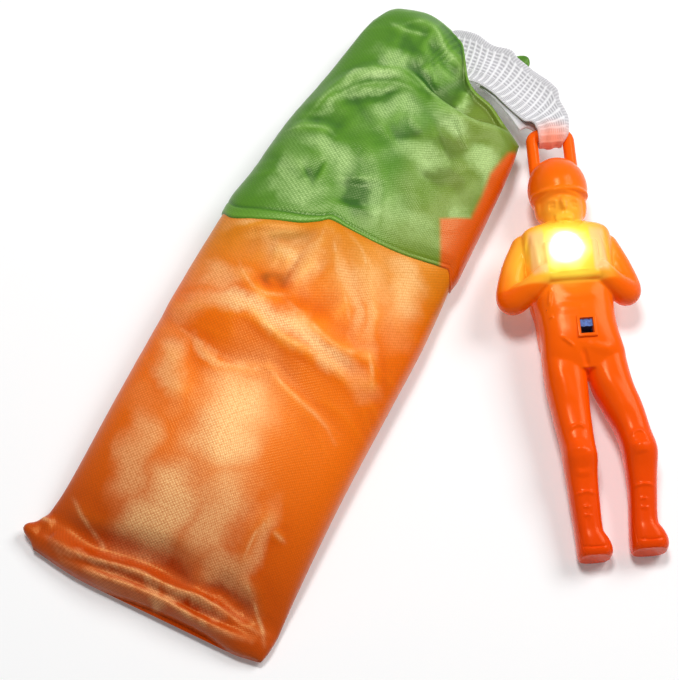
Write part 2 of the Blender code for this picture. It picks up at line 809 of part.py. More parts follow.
def body_ring(row, exponent):
    along, middle, half, back, front = row
    ring = []
    for index in range(BODY_SIDES):
        angle = math.tau * index / BODY_SIDES
        across = math.copysign(abs(math.cos(angle)) ** (2.0 / exponent), math.cos(angle))
        rise = math.copysign(abs(math.sin(angle)) ** (2.0 / exponent), math.sin(angle))
        x = (middle + half * across) * FIGURE_WIDTH
        z = blend(back, front, 0.5 + 0.5 * rise) * FIGURE_DEPTH
        ring.append((x, -along * FIGURE_LENGTH, z))
    return ring


def body_form(rows, exponent):
    rings = [body_ring(row, exponent) for row in curve_rows(rows, BODY_STEPS)]
    return mesh_of(loft(rings), "body_form")


def head_form(row):
    x, along, z, half_width, half_length, half_depth = row
    bm = bmesh.new()
    bmesh.ops.create_uvsphere(bm, u_segments=24, v_segments=16, radius=1.0)
    bm.transform(Matrix.Diagonal((
        half_width * FIGURE_WIDTH, half_length * FIGURE_LENGTH, half_depth * FIGURE_DEPTH, 1.0
    )))
    bm.transform(Matrix.Translation((x * FIGURE_WIDTH, -along * FIGURE_LENGTH, z * FIGURE_DEPTH)))
    return mesh_of(bm, "head_form")


def arm_form(rows):
    keyed = [(index, *row) for index, row in enumerate(rows)]
    bm = bmesh.new()
    for _, x, along, z, radius in curve_rows(keyed, LIMB_BEADS):
        place = Matrix.Translation((x * FIGURE_WIDTH, -along * FIGURE_LENGTH, z * FIGURE_DEPTH))
        bmesh.ops.create_icosphere(bm, subdivisions=2, radius=radius * FIGURE_WIDTH, matrix=place)
    return mesh_of(bm, "arm_form")


def rounded_block(low, high, rounding):
    bm = box(low, high)
    bmesh.ops.bevel(bm, geom=bm.edges[:], offset=rounding, segments=3, profile=0.5, affect="EDGES")
    return mesh_of(bm, "rounded_block")


def make_body_mesh():
    """The whole outside of the figure as one closed skin, flat where it lies on its back"""
    forms = [
        body_form(TORSO_SHARES, TORSO_EXPONENT),
        body_form(BACKPACK_SHARES, BACKPACK_EXPONENT),
        body_form(RIGHT_LEG_SHARES, BODY_EXPONENT),
        body_form(LEFT_LEG_SHARES, BODY_EXPONENT),
        arm_form(RIGHT_ARM_SHARES),
        arm_form(LEFT_ARM_SHARES),
    ]
    forms += [head_form(row) for row in HEAD_SHARES]
    chest_half = CHEST_PACK_WIDTH / 2
    forms.append(rounded_block(
        (LAMP_OFFSET - chest_half, -LAMP_PLACE - CHEST_PACK_BELOW_LAMP, LOOP_HEIGHT),
        (LAMP_OFFSET + chest_half, -LAMP_PLACE + CHEST_PACK_ABOVE_LAMP, CHEST_PACK_FRONT),
        CHEST_PACK_ROUNDING,
    ))
    raw = add_cutter("body_forms", join_meshes(forms, "body_forms"))
    remesh = raw.modifiers.new("skin", "REMESH")
    remesh.mode = "VOXEL"
    remesh.voxel_size = MOULD_VOXEL
    relax = raw.modifiers.new("relax", "SMOOTH")
    relax.factor = 0.5
    relax.iterations = SMOOTHING_PASSES
    thin = raw.modifiers.new("thin", "DECIMATE")
    thin.ratio = DETAIL_SHARE
    mesh = evaluated_mesh(raw, "body")
    bpy.data.objects.remove(raw)
    bm = bmesh.new()
    bm.from_mesh(mesh)
    cut_flat(bm, 0.0)
    bmesh.ops.triangulate(bm, faces=[face for face in bm.faces if len(face.verts) > 4])
    return mesh_of(bm, "body")


def loop_points():
    """Half the loop from its root on the helmet, over the bar, to the other root"""
    half = LOOP_WIDTH / 2 - LOOP_BAR_RADIUS
    points = [Vector((-half, -LOOP_ROOT_SHARE * FIGURE_LENGTH, LOOP_HEIGHT))]
    for index in range(LOOP_BEND_POINTS + 1):
        angle = math.pi / 2 * index / LOOP_BEND_POINTS
        points.append(Vector((
            -half + LOOP_BEND_RADIUS * (1.0 - math.cos(angle)),
            -LOOP_BEND_RADIUS * (1.0 - math.sin(angle)),
            LOOP_HEIGHT,
        )))
    return points + [Vector((-point.x, point.y, point.z)) for point in reversed(points)]


# Figure: places of the pieces inside, from the sizes of what they hold

LAMP_PLACE = LAMP_PLACE_SHARE * FIGURE_LENGTH
BACK_HALF_TOP = BACK_HALF_TOP_SHARE * FIGURE_LENGTH
HOUSING_TOP = LAMP_PLACE - HOUSING_ABOVE_LAMP
CELL_RADIUS = CELL_DIAMETER / 2
CELL_LEVEL = CELL_BACK + CELL_RADIUS
STACK_HALF = (CELL_COUNT * CELL_HEIGHT + (CELL_COUNT - 1) * STACK_GAP) / 2
CONTACT_INNER = STACK_HALF + STACK_GAP
BAY_HALF = CONTACT_INNER + CONTACT_THICKNESS + STACK_GAP
HOUSING_HALF = BAY_HALF + HOUSING_WALL
POCKET_HALF = LAMP_FLANGE_DIAMETER / 2 + CLEARANCE
POCKET_BOTTOM = LAMP_PLACE + POCKET_HALF
POCKET_TOP = LAMP_PLACE - POCKET_HALF
BAY_TOP = POCKET_BOTTOM + HOUSING_WALL
CELL_PLACE = BAY_TOP + CLEARANCE + CELL_RADIUS
BAY_BOTTOM = CELL_PLACE + CELL_RADIUS + CLEARANCE
HOUSING_BOTTOM = BAY_BOTTOM + HOUSING_WALL
SWITCH_PLACE = HOUSING_BOTTOM + SWITCH_FROM_HOUSING
BAY_FRONT = CELL_LEVEL + CELL_RADIUS + CLEARANCE
HOUSING_FRONT = BAY_FRONT + HOUSING_WALL
DECK_BACK = LAMP_FLANGE_BACK + LAMP_FLANGE_THICKNESS + CLEARANCE
DECK_FRONT = DECK_BACK + HOUSING_WALL
LAMP_FRONT = LAMP_FLANGE_BACK + LAMP_LENGTH
DOOR_RECESS = DOOR_THICKNESS + CLEARANCE
SCREW_PLACE = BAY_BOTTOM + SCREW_FROM_CELLS
DOOR_TOP = BAY_TOP - DOOR_RIM
DOOR_BOTTOM = SCREW_PLACE + SCREW_HEAD_DIAMETER / 2 + DOOR_RIM
BOARD_BACK = SWITCH_CASE_BACK - CLEARANCE - BOARD_THICKNESS
SWITCH_CASE_FRONT = SWITCH_CASE_BACK + SWITCH_CASE_HEIGHT
APERTURE_HALF_WIDTH = KNOB_WIDTH / 2 + SLIDING_CLEARANCE
APERTURE_HALF_LENGTH = (KNOB_LENGTH + SWITCH_TRAVEL) / 2 + SLIDING_CLEARANCE
TERMINAL_BACK = SWITCH_CASE_BACK - CLEARANCE - TERMINAL_LENGTH
BOARD_BAY_BACK = TERMINAL_BACK - CLEARANCE
WIRE_RADIUS = WIRE_DIAMETER / 2
CHEST_CAVITY_FRONT = WIRE_RUN_HEIGHT + WIRE_RADIUS + CLEARANCE
WELL_EDGE = LAMP_OFFSET + WELL_WIDTH / 2
RED_HOLE = (WELL_EDGE - WIRE_HOLE_DIAMETER / 2 - CLEARANCE, LAMP_PLACE - POCKET_HALF / 2 - CLEARANCE)
BLACK_HOLE = (WELL_EDGE - WIRE_HOLE_DIAMETER, LAMP_PLACE + POCKET_HALF / 2 + CLEARANCE)


def inner_mesh(bm, name):
    mesh = mesh_of(bm, name)
    smooth_shade(mesh)
    return mesh


def figure_place(x, along, z):
    """A place in the figure's frame, from the bar towards the feet"""
    return (x, -along, z)


class FigureFrame:
    """The figure's frame, which the empty on the bar carries"""

    def __init__(self, axis):
        self.axis = axis
        self.drop = (0.0, 0.0, -LOOP_HEIGHT)

    def part(self, name, mesh, material):
        return add_part(name, mesh, material, self.axis, self.drop)

    def cutter(self, name, mesh):
        return add_cutter(name, mesh, self.axis, self.drop)

    def cut(self, target, name, bm):
        combine(target, self.cutter(name, mesh_of(bm, name)), "DIFFERENCE")

    def join(self, target, name, bm):
        combine(target, self.cutter(name, mesh_of(bm, name)), "UNION")

    def turned(self, name, profile, material, place):
        """A profile of radii and heights, from its foot up, turned about its own axis"""
        bm = bmesh.new()
        points = [bm.verts.new((radius, 0.0, height)) for radius, height in reversed(profile)]
        for first, second in zip(points, points[1:]):
            bm.edges.new((first, second))
        part = self.part(name, mesh_of(bm, name), material)
        part.location = Vector(place) + Vector(self.drop)
        screw = part.modifiers.new("turn", "SCREW")
        screw.steps = ROUND_SIDES
        screw.render_steps = ROUND_SIDES
        screw.use_merge_vertices = True
        screw.merge_threshold = WELD_DISTANCE
        return part


def figure_box(x_low, x_high, along_top, along_bottom, z_low, z_high):
    """A block between two places across, along and high"""
    return box((x_low, -along_bottom, z_low), (x_high, -along_top, z_high))


def chamfered_box(x_low, x_high, along_top, along_bottom, z_low, z_high, chamfer):
    """A figure block whose two upright edges nearest the feet are cut off"""
    bm = figure_box(x_low, x_high, along_top, along_bottom, z_low, z_high)
    middle = -(along_top + along_bottom) / 2
    corners = [
        edge for edge in bm.edges
        if edge.verts[0].co.y < middle and edge.verts[1].co.y < middle
        and abs(edge.verts[0].co.z - edge.verts[1].co.z) > chamfer
    ]
    bmesh.ops.bevel(bm, geom=corners, offset=chamfer, segments=1, profile=0.5, affect="EDGES")
    return bm


def cavity_forms():
    """The room inside the torso for the lamp housing, the wires and the switch"""
    half = HOUSING_HALF + 2 * STACK_GAP
    wire_half = HOUSING_HALF - HOUSING_WALL
    board_half = BOARD_WIDTH / 2 + CLEARANCE
    board_low = SWITCH_PLACE + BOARD_LENGTH / 2 + CLEARANCE
    return [
        chamfered_box(-half, half, HOUSING_TOP - CLEARANCE, HOUSING_BOTTOM + 2 * STACK_GAP,
                      HOUSING_BACK - CLEARANCE, CHEEK_FRONT + CLEARANCE, HOUSING_CHAMFER),
        chamfered_box(-half, half, POCKET_BOTTOM - CLEARANCE, HOUSING_BOTTOM + 2 * STACK_GAP,
                      DECK_BACK, HOUSING_FRONT + CLEARANCE, HOUSING_CHAMFER),
        figure_box(-wire_half, wire_half, HOUSING_TOP + CLEARANCE, HOUSING_BOTTOM + HOUSING_WALL,
                   DECK_BACK, CHEST_CAVITY_FRONT),
        figure_box(SWITCH_OFFSET - board_half, SWITCH_OFFSET + board_half, HOUSING_BOTTOM, board_low,
                   BOARD_BAY_BACK, SWITCH_CASE_FRONT + CLEARANCE),
        cylinder(figure_place(LAMP_OFFSET, LAMP_PLACE, DECK_FRONT), LAMP_DIAMETER / 2 + CLEARANCE,
                 LAMP_FRONT + CLEARANCE - DECK_FRONT),
    ]


def hollow(frame, target, names):
    for index, form in enumerate(cavity_forms()):
        frame.cut(target, f"{names}_room_{index + 1}", form)


def make_figure_front(frame, body):
    front = frame.part("figure_front", body.copy(), ORANGE_SHELL)
    front.data.shade_smooth()
    reach = FIGURE_WIDTH
    frame.cut(front, "back_half_region", figure_box(
        -reach, reach, BACK_HALF_TOP, FIGURE_LENGTH + CUT_OVERRUN, -CUT_OVERRUN, PARTING_HEIGHT + SEAM_GAP
    ))
    loop = frame.cutter("loop", tube("loop", loop_points(), LOOP_BAR_RADIUS, 2))
    combine(front, loop, "UNION")
    hollow(frame, front, "front")
    bezel_half_width = APERTURE_HALF_WIDTH + BEZEL_WIDTH
    bezel_half_length = APERTURE_HALF_LENGTH + BEZEL_WIDTH
    frame.join(front, "window_bezel", figure_box(
        SWITCH_OFFSET - bezel_half_width, SWITCH_OFFSET + bezel_half_width,
        SWITCH_PLACE - bezel_half_length, SWITCH_PLACE + bezel_half_length,
        SWITCH_CASE_FRONT + HOUSING_WALL, BEZEL_FRONT,
    ))
    frame.cut(front, "switch_aperture", figure_box(
        SWITCH_OFFSET - APERTURE_HALF_WIDTH, SWITCH_OFFSET + APERTURE_HALF_WIDTH,
        SWITCH_PLACE - APERTURE_HALF_LENGTH, SWITCH_PLACE + APERTURE_HALF_LENGTH,
        SWITCH_CASE_FRONT, FIGURE_DEPTH + CUT_OVERRUN,
    ))
    for index, (across, along) in enumerate(PIN_PLACE_SHARES):
        place = figure_place(across * FIGURE_WIDTH, along * FIGURE_LENGTH, PARTING_HEIGHT - CUT_OVERRUN)
        depth = PIN_LENGTH + CLEARANCE + CUT_OVERRUN
        frame.cut(front, f"pin_socket_{index + 1}", cylinder(
            place, PIN_DIAMETER / 2 + SLIDING_CLEARANCE, depth, SMALL_ROUND_SIDES
        ))


def make_figure_back(frame, body):
    back = frame.part("figure_back", body.copy(), ORANGE_SHELL)
    back.data.shade_smooth()
    reach = FIGURE_WIDTH
    region = frame.cutter("back_half", mesh_of(figure_box(
        -reach, reach, BACK_HALF_TOP + SEAM_GAP, FIGURE_LENGTH + CUT_OVERRUN, -CUT_OVERRUN, PARTING_HEIGHT
    ), "back_half"))
    combine(back, region, "INTERSECT")
    hollow(frame, back, "back")
    half = DOOR_WIDTH / 2 + CLEARANCE
    frame.cut(back, "door_recess", figure_box(
        -half, half, DOOR_TOP - CLEARANCE, DOOR_BOTTOM + CLEARANCE, -CUT_OVERRUN, DOOR_RECESS
    ))
    opening_half = STACK_HALF + 2 * STACK_GAP
    frame.cut(back, "cell_opening", figure_box(
        -opening_half, opening_half, BAY_TOP, BAY_BOTTOM, -CUT_OVERRUN, HOUSING_BACK
    ))
    frame.cut(back, "screw_bore", cylinder(
        figure_place(0.0, SCREW_PLACE, 0.0), SCREW_SHANK_DIAMETER / 2 + CLEARANCE,
        SCREW_LENGTH + CLEARANCE + SCREW_HEAD_HEIGHT, SMALL_ROUND_SIDES,
    ))
    for index, (across, along) in enumerate(PIN_PLACE_SHARES):
        place = figure_place(across * FIGURE_WIDTH, along * FIGURE_LENGTH, PARTING_HEIGHT - PIN_LENGTH)
        frame.join(back, f"pin_{index + 1}", cylinder(
            place, PIN_DIAMETER / 2, 2 * PIN_LENGTH, SMALL_ROUND_SIDES
        ))


def make_battery_door(frame):
    half = DOOR_WIDTH / 2
    low = (-half, -DOOR_BOTTOM, 0.0)
    high = (half, -DOOR_TOP, DOOR_THICKNESS)
    bm = box(low, high)
    upright = [edge for edge in bm.edges if abs(edge.verts[0].co.z - edge.verts[1].co.z) > DOOR_THICKNESS / 2]
    bmesh.ops.bevel(bm, geom=upright, offset=DOOR_CORNER, segments=3, profile=0.5, affect="EDGES")
    door = frame.part("battery_door", mesh_of(bm, "battery_door"), ORANGE_SHELL)
    head_depth = SCREW_HEAD_HEIGHT + CLEARANCE
    frame.cut(door, "screw_head_seat", cylinder(
        figure_place(0.0, SCREW_PLACE, -CUT_OVERRUN), SCREW_HEAD_DIAMETER / 2 + CLEARANCE,
        head_depth + CUT_OVERRUN,
    ))
    frame.cut(door, "screw_hole", cylinder(
        figure_place(0.0, SCREW_PLACE, -CUT_OVERRUN), SCREW_SHANK_DIAMETER / 2 + CLEARANCE,
        DOOR_THICKNESS + 2 * CUT_OVERRUN, SMALL_ROUND_SIDES,
    ))


def make_door_screw(frame, screw_axis):
    """A screw whose head lies in the door, with its origin on its own axis"""
    head = mesh_of(cylinder((0.0, 0.0, 0.0), SCREW_HEAD_DIAMETER / 2, SCREW_HEAD_HEIGHT), "head")
    shank = mesh_of(cylinder(
        (0.0, 0.0, 0.0), SCREW_SHANK_DIAMETER / 2, SCREW_LENGTH + SCREW_HEAD_HEIGHT, SMALL_ROUND_SIDES
    ), "shank")
    screw = add_part("door_screw", head, CELL_STEEL, screw_axis)
    combine(screw, add_cutter("screw_shank", shank, screw_axis), "UNION")
    reach = SCREW_SLOT_LENGTH / 2
    slot_half = SCREW_SLOT_WIDTH / 2
    for name, x, y in (("slot_a", reach, slot_half), ("slot_b", slot_half, reach)):
        slot = mesh_of(box((-x, -y, -CUT_OVERRUN), (x, y, SCREW_SLOT_DEPTH)), name)
        combine(screw, add_cutter(name, slot, screw_axis), "DIFFERENCE")


def make_lamp_housing(frame):
    """The white carrier: a bay for the cells, a deck for the lamp and a cheek on each side of it"""
    housing = frame.part("lamp_housing", mesh_of(chamfered_box(
        -HOUSING_HALF, HOUSING_HALF, HOUSING_TOP, HOUSING_BOTTOM, HOUSING_BACK, HOUSING_FRONT, HOUSING_CHAMFER
    ), "lamp_housing"), WHITE_CARRIER)
    below = HOUSING_BACK - CUT_OVERRUN
    above = HOUSING_FRONT + CUT_OVERRUN
    before = HOUSING_TOP - CUT_OVERRUN
    frame.cut(housing, "cell_bay", chamfered_box(
        -BAY_HALF, BAY_HALF, BAY_TOP, BAY_BOTTOM, below, BAY_FRONT, BAY_CHAMFER
    ))
    frame.cut(housing, "lead_pocket", figure_box(
        -BAY_HALF, BAY_HALF, POCKET_TOP, POCKET_BOTTOM, below, DECK_BACK
    ))
    side = CONTACT_INNER - CLEARANCE
    for name, x_low, x_high in (("tab_notch_left", -BAY_HALF, -side), ("tab_notch_right", side, BAY_HALF)):
        notch_front = LAMP_FLANGE_BACK + CONTACT_TAB_HEIGHT / 2
        frame.cut(housing, name, figure_box(
            x_low, x_high, POCKET_BOTTOM - HOUSING_WALL, BAY_TOP + HOUSING_WALL, below, notch_front
        ))
    frame.cut(housing, "lamp_well", figure_box(
        LAMP_OFFSET - WELL_WIDTH / 2, LAMP_OFFSET + WELL_WIDTH / 2, before, POCKET_BOTTOM, DECK_FRONT, above
    ))
    frame.cut(housing, "cheek_tops", figure_box(
        -HOUSING_HALF - CUT_OVERRUN, HOUSING_HALF + CUT_OVERRUN, before, POCKET_BOTTOM, CHEEK_FRONT, above
    ))
    frame.cut(housing, "lamp_hole", cylinder(
        figure_place(LAMP_OFFSET, LAMP_PLACE, below), LAMP_DIAMETER / 2 + CLEARANCE, above - below
    ))
    for name, (x, along) in (("red_hole", RED_HOLE), ("black_hole", BLACK_HOLE)):
        frame.cut(housing, name, cylinder(
            figure_place(x, along, DECK_BACK - CLEARANCE), WIRE_HOLE_DIAMETER / 2, HOUSING_WALL + 2 * CLEARANCE,
            SMALL_ROUND_SIDES,
        ))


def make_cells(frame):
    """Button cells on one line across the body, each a can with a smaller cap"""
    pitch = CELL_HEIGHT + STACK_GAP
    can_height = CELL_HEIGHT - CELL_CAP_HEIGHT
    edge_radius = CELL_RADIUS - CLEARANCE
    profile = (
        (0.0, 0.0),
        (edge_radius, 0.0),
        (CELL_RADIUS, CLEARANCE),
        (CELL_RADIUS, can_height - CLEARANCE),
        (edge_radius, can_height),
        (CELL_CAP_DIAMETER / 2, can_height),
        (CELL_CAP_DIAMETER / 2, CELL_HEIGHT),
        (0.0, CELL_HEIGHT),
    )
    for index in range(CELL_COUNT):
        place = (index * pitch - STACK_HALF, -CELL_PLACE, CELL_LEVEL)
        cell = frame.turned(f"button_cell_{index + 1}", profile, CELL_STEEL, place)
        cell.rotation_euler = (0.0, math.pi / 2, 0.0)


def make_contacts(frame):
    """Flat springs at the ends of the stack, each with a tab beside the lamp's leads"""
    half = CONTACT_WIDTH / 2
    tab_back = LAMP_FLANGE_BACK - CONTACT_TAB_HEIGHT
    for name, sign in (("contact_negative", -1.0), ("contact_positive", 1.0)):
        inner = CONTACT_INNER * sign
        outer = (CONTACT_INNER + CONTACT_THICKNESS) * sign
        low = min(inner, outer)
        high = max(inner, outer)
        plate = mesh_of(figure_box(
            low, high, CELL_PLACE - half, CELL_PLACE + half, CELL_LEVEL - half, CELL_LEVEL + half
        ), name)
        contact = frame.part(name, plate, CONTACT_METAL)
        frame.join(contact, f"{name}_tab", figure_box(
            low, high, LAMP_PLACE, CELL_PLACE, tab_back, LAMP_FLANGE_BACK
        ))


def make_lamp(frame):
    """A round-topped lamp with a flange"""
    radius = LAMP_DIAMETER / 2
    flange = LAMP_FLANGE_DIAMETER / 2
    shoulder = LAMP_LENGTH - radius
    profile = [(0.0, 0.0), (flange, 0.0), (flange, LAMP_FLANGE_THICKNESS), (radius, LAMP_FLANGE_THICKNESS)]
    for step in range(LAMP_DOME_STEPS):
        angle = math.pi / 2 * step / LAMP_DOME_STEPS
        profile.append((radius * math.cos(angle), shoulder + radius * math.sin(angle)))
    profile.append((0.0, LAMP_LENGTH))
    frame.turned("lamp", profile, CLEAR_LAMP, (LAMP_OFFSET, -LAMP_PLACE, LAMP_FLANGE_BACK))


def make_lamp_leads(frame):
    """Two square pins that leave the flange and bend towards the sides"""
    half = LAMP_LEAD_SIZE / 2
    front = LAMP_FLANGE_BACK - CLEARANCE
    back = front - LAMP_LEAD_DROP
    ends = (
        ("lamp_lead_negative", -1.0, CONTACT_INNER - CLEARANCE),
        ("lamp_lead_positive", 1.0, BLACK_HOLE[0] - WIRE_DIAMETER),
    )
    for name, sign, reach in ends:
        pin_x = LAMP_OFFSET + sign * LAMP_LEAD_PITCH / 2
        end_x = sign * reach
        bm = figure_box(min(pin_x - half, end_x), max(pin_x + half, end_x), LAMP_PLACE - half,
                        LAMP_PLACE + half, back, front)
        frame.part(name, mesh_of(bm, name), CELL_STEEL)


def make_switch(frame):
    """The slide switch: a case open at the front and a knob that travels in it"""
    half_width = SWITCH_CASE_WIDTH / 2
    half_length = SWITCH_CASE_LENGTH / 2
    case = frame.part("switch_case", mesh_of(figure_box(
        SWITCH_OFFSET - half_width, SWITCH_OFFSET + half_width, SWITCH_PLACE - half_length,
        SWITCH_PLACE + half_length, SWITCH_CASE_BACK, SWITCH_CASE_FRONT,
    ), "switch_case"), NAVY_CASE)
    slot_half = half_width - SWITCH_WALL
    track_half = APERTURE_HALF_LENGTH + CLEARANCE
    floor = SWITCH_CASE_FRONT - SWITCH_WALL - KNOB_FOOT_THICKNESS - 2 * SLIDING_CLEARANCE
    frame.cut(case, "switch_track", figure_box(
        SWITCH_OFFSET - slot_half, SWITCH_OFFSET + slot_half, SWITCH_PLACE - track_half,
        SWITCH_PLACE + track_half, floor, SWITCH_CASE_FRONT + CUT_OVERRUN,
    ))
    knob_half = KNOB_WIDTH / 2
    foot_half = slot_half - SLIDING_CLEARANCE
    knob_place = SWITCH_PLACE - SWITCH_TRAVEL / 2
    knob = frame.part("switch_knob", mesh_of(figure_box(
        SWITCH_OFFSET - foot_half, SWITCH_OFFSET + foot_half, knob_place - KNOB_LENGTH / 2,
        knob_place + KNOB_LENGTH / 2, floor + SLIDING_CLEARANCE, floor + SLIDING_CLEARANCE + KNOB_FOOT_THICKNESS,
    ), "switch_knob"), BLUE_KNOB)
    frame.join(knob, "knob_stem", figure_box(
        SWITCH_OFFSET - knob_half, SWITCH_OFFSET + knob_half, knob_place - KNOB_LENGTH / 2,
        knob_place + KNOB_LENGTH / 2, floor + SLIDING_CLEARANCE, KNOB_FRONT,
    ))
    for index in range(2):
        x = SWITCH_OFFSET + (index - 0.5) * KNOB_WIDTH / 2
        frame.cut(knob, f"knob_groove_{index + 1}", figure_box(
            x - KNOB_RIB_WIDTH / 2, x + KNOB_RIB_WIDTH / 2, knob_place - KNOB_LENGTH,
            knob_place + KNOB_LENGTH, KNOB_FRONT - KNOB_RIB_HEIGHT, KNOB_FRONT + CUT_OVERRUN,
        ))


def terminal_places():
    middle = (TERMINAL_COUNT - 1) / 2
    return [SWITCH_PLACE + (index - middle) * TERMINAL_PITCH for index in range(TERMINAL_COUNT)]


def make_board(frame):
    """The small circuit board under the switch, and the switch's pins in its holes"""
    board = frame.part("circuit_board", mesh_of(figure_box(
        SWITCH_OFFSET - BOARD_WIDTH / 2, SWITCH_OFFSET + BOARD_WIDTH / 2, SWITCH_PLACE - BOARD_LENGTH / 2,
        SWITCH_PLACE + BOARD_LENGTH / 2, BOARD_BACK, BOARD_BACK + BOARD_THICKNESS,
    ), "circuit_board"), BOARD_LAMINATE)
    for index, along in enumerate(terminal_places()):
        place = figure_place(SWITCH_OFFSET, along, TERMINAL_BACK)
        name = f"switch_terminal_{index + 1}"
        pin = cylinder(place, TERMINAL_DIAMETER / 2, TERMINAL_LENGTH, SMALL_ROUND_SIDES)
        frame.part(name, inner_mesh(pin, name), CONTACT_METAL)
        hole = cylinder(figure_place(SWITCH_OFFSET, along, BOARD_BACK - CLEARANCE),
                        TERMINAL_DIAMETER / 2 + CLEARANCE, BOARD_THICKNESS + 2 * CLEARANCE, SMALL_ROUND_SIDES)
        frame.cut(board, f"terminal_hole_{index + 1}", hole)


def make_wires(frame):
    """Two wires from beside the lamp, over the housing's front, to the board"""
    red_x, red_along = RED_HOLE
    black_x, black_along = BLACK_HOLE
    board_front = BOARD_BACK + BOARD_THICKNESS + CLEARANCE
    side_room = SWITCH_CASE_WIDTH / 2 + CLEARANCE + WIRE_DIAMETER
    board_top = SWITCH_PLACE - BOARD_LENGTH / 2
    start = LAMP_FLANGE_BACK - CLEARANCE
    crest = POCKET_BOTTOM - WIRE_DIAMETER
    near_crossing, far_crossing = WIRE_CROSSING_SHARES

    def wire(name, x, along, landing, material):
        points = [
            (x, along, start),
            (x, along, DECK_FRONT + WIRE_DIAMETER),
            (x, max(along, crest - 2 * WIRE_DIAMETER), CHEEK_FRONT),
            (blend(x, landing, near_crossing), crest, WIRE_RUN_HEIGHT),
            (blend(x, landing, far_crossing), CELL_PLACE - CELL_RADIUS / 2, WIRE_RUN_HEIGHT),
            (landing, HOUSING_BOTTOM - HOUSING_WALL, WIRE_RUN_HEIGHT),
            (landing, board_top + WIRE_DIAMETER, SWITCH_CASE_FRONT - WIRE_DIAMETER),
            (landing, board_top + 2 * WIRE_DIAMETER, board_front),
        ]
        route = [Vector(figure_place(*point)) for point in points]
        frame.part(name, tube(name, route, WIRE_RADIUS), material)

    wire("wire_red", red_x, red_along, SWITCH_OFFSET + side_room, RED_SHEATH)
    wire("wire_black", black_x, black_along, SWITCH_OFFSET - side_room, BLACK_SHEATH)


def main():
    make_canopy_pack()
    make_canopy_sleeve()
    make_tape_tail()
    make_canopy_tab()

    tape_axis = bpy.data.objects.new("tape_fold_axis", None)
    PARTS.objects.link(tape_axis)
    tape_axis.location = FOLD_PLACE
    make_tape_strap(tape_axis)

    loop_axis = bpy.data.objects.new("figure_swing_axis", None)
    PARTS.objects.link(loop_axis)
    loop_axis.location = LOOP_PLACE
    loop_axis.rotation_euler = (0.0, 0.0, FIGURE_TURN)
    frame = FigureFrame(loop_axis)

    screw_axis = bpy.data.objects.new("door_screw_axis", None)
    PARTS.objects.link(screw_axis)
    screw_axis.parent = loop_axis
    screw_axis.location = (0.0, -SCREW_PLACE, -LOOP_HEIGHT)

    body = make_body_mesh()
    make_figure_front(frame, body)
    make_figure_back(frame, body)
    make_battery_door(frame)
    make_door_screw(frame, screw_axis)
    make_lamp_housing(frame)
    make_cells(frame)
    make_contacts(frame)
    make_lamp(frame)
    make_lamp_leads(frame)
    make_switch(frame)
    make_board(frame)
    make_wires(frame)

    bpy.context.view_layer.update()
    for name, place in (("fold", FOLD_PLACE), ("loop", LOOP_PLACE)):
        print(f"{name} axis at", [round(value, 5) for value in place])
    for name in ("switch_knob", "door_screw", "battery_door"):
        part = bpy.data.objects[name]
        corners = [part.matrix_world @ Vector(corner) for corner in part.bound_box]
        middle = sum(corners, Vector()) / len(corners)
        print(name, "middle", [round(value, 5) for value in middle])


main()
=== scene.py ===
"""A packed toy parachute: a folded satin canopy, its knitted tape and a moulded figure with a lit lamp.

The model is +Z up with its origin under the middle of the pack, and +Y towards the end that the tape
leaves. Lengths are in metres, except in tables that say millimetres.
"""

import math

import bmesh
import bpy
import numpy as np
from mathutils import Matrix, Vector


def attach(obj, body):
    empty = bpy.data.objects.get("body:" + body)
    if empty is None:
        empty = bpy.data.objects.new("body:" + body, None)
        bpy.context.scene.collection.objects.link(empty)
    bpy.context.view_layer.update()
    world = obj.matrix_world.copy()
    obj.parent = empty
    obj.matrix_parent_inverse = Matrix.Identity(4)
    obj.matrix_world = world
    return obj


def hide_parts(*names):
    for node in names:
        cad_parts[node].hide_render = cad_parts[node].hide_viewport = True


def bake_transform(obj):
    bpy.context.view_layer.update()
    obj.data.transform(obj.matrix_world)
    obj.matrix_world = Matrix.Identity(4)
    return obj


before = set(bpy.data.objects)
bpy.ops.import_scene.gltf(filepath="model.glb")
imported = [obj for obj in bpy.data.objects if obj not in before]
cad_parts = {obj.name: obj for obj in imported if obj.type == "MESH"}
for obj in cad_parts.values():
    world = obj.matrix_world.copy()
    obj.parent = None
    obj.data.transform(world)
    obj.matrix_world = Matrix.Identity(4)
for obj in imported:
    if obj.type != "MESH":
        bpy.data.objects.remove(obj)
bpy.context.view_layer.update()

# Camera
# A long lens looks steeply down on the toy from beyond its foot, a little to the right, as in the
# photograph.
CAMERA_TURN = math.radians(27.5)
CAMERA_RISE = math.radians(68.0)
CAMERA_DISTANCE = 0.450
CAMERA_AIM = Vector((0.00845, 0.00177, 0.0))
CAMERA_LENS = 110.70
CAMERA_SENSOR = 36.0


def direction(turn, rise):
    """The way to a place round the toy, with the turn counted from -Y towards +X"""
    return Vector((math.sin(turn) * math.cos(rise), -math.cos(turn) * math.cos(rise), math.sin(rise)))


camera = bpy.data.objects.new("camera", bpy.data.cameras.new("camera"))
bpy.context.scene.collection.objects.link(camera)
camera.data.lens = CAMERA_LENS
camera.data.sensor_width = CAMERA_SENSOR
camera.data.sensor_fit = "HORIZONTAL"
camera.data.clip_start = 0.01
camera.location = CAMERA_AIM + direction(CAMERA_TURN, CAMERA_RISE) * CAMERA_DISTANCE
camera.rotation_euler = (CAMERA_AIM - camera.location).to_track_quat("-Z", "Y").to_euler()
bpy.context.scene.camera = camera

# Floor
# A sheet of matt white card that the toy lies on. It shows white, and keeps the toy's soft shadow.
FLOOR_SIZE = 3.0
FLOOR_DROP = 0.00002
CARD_LIFT = 0.12


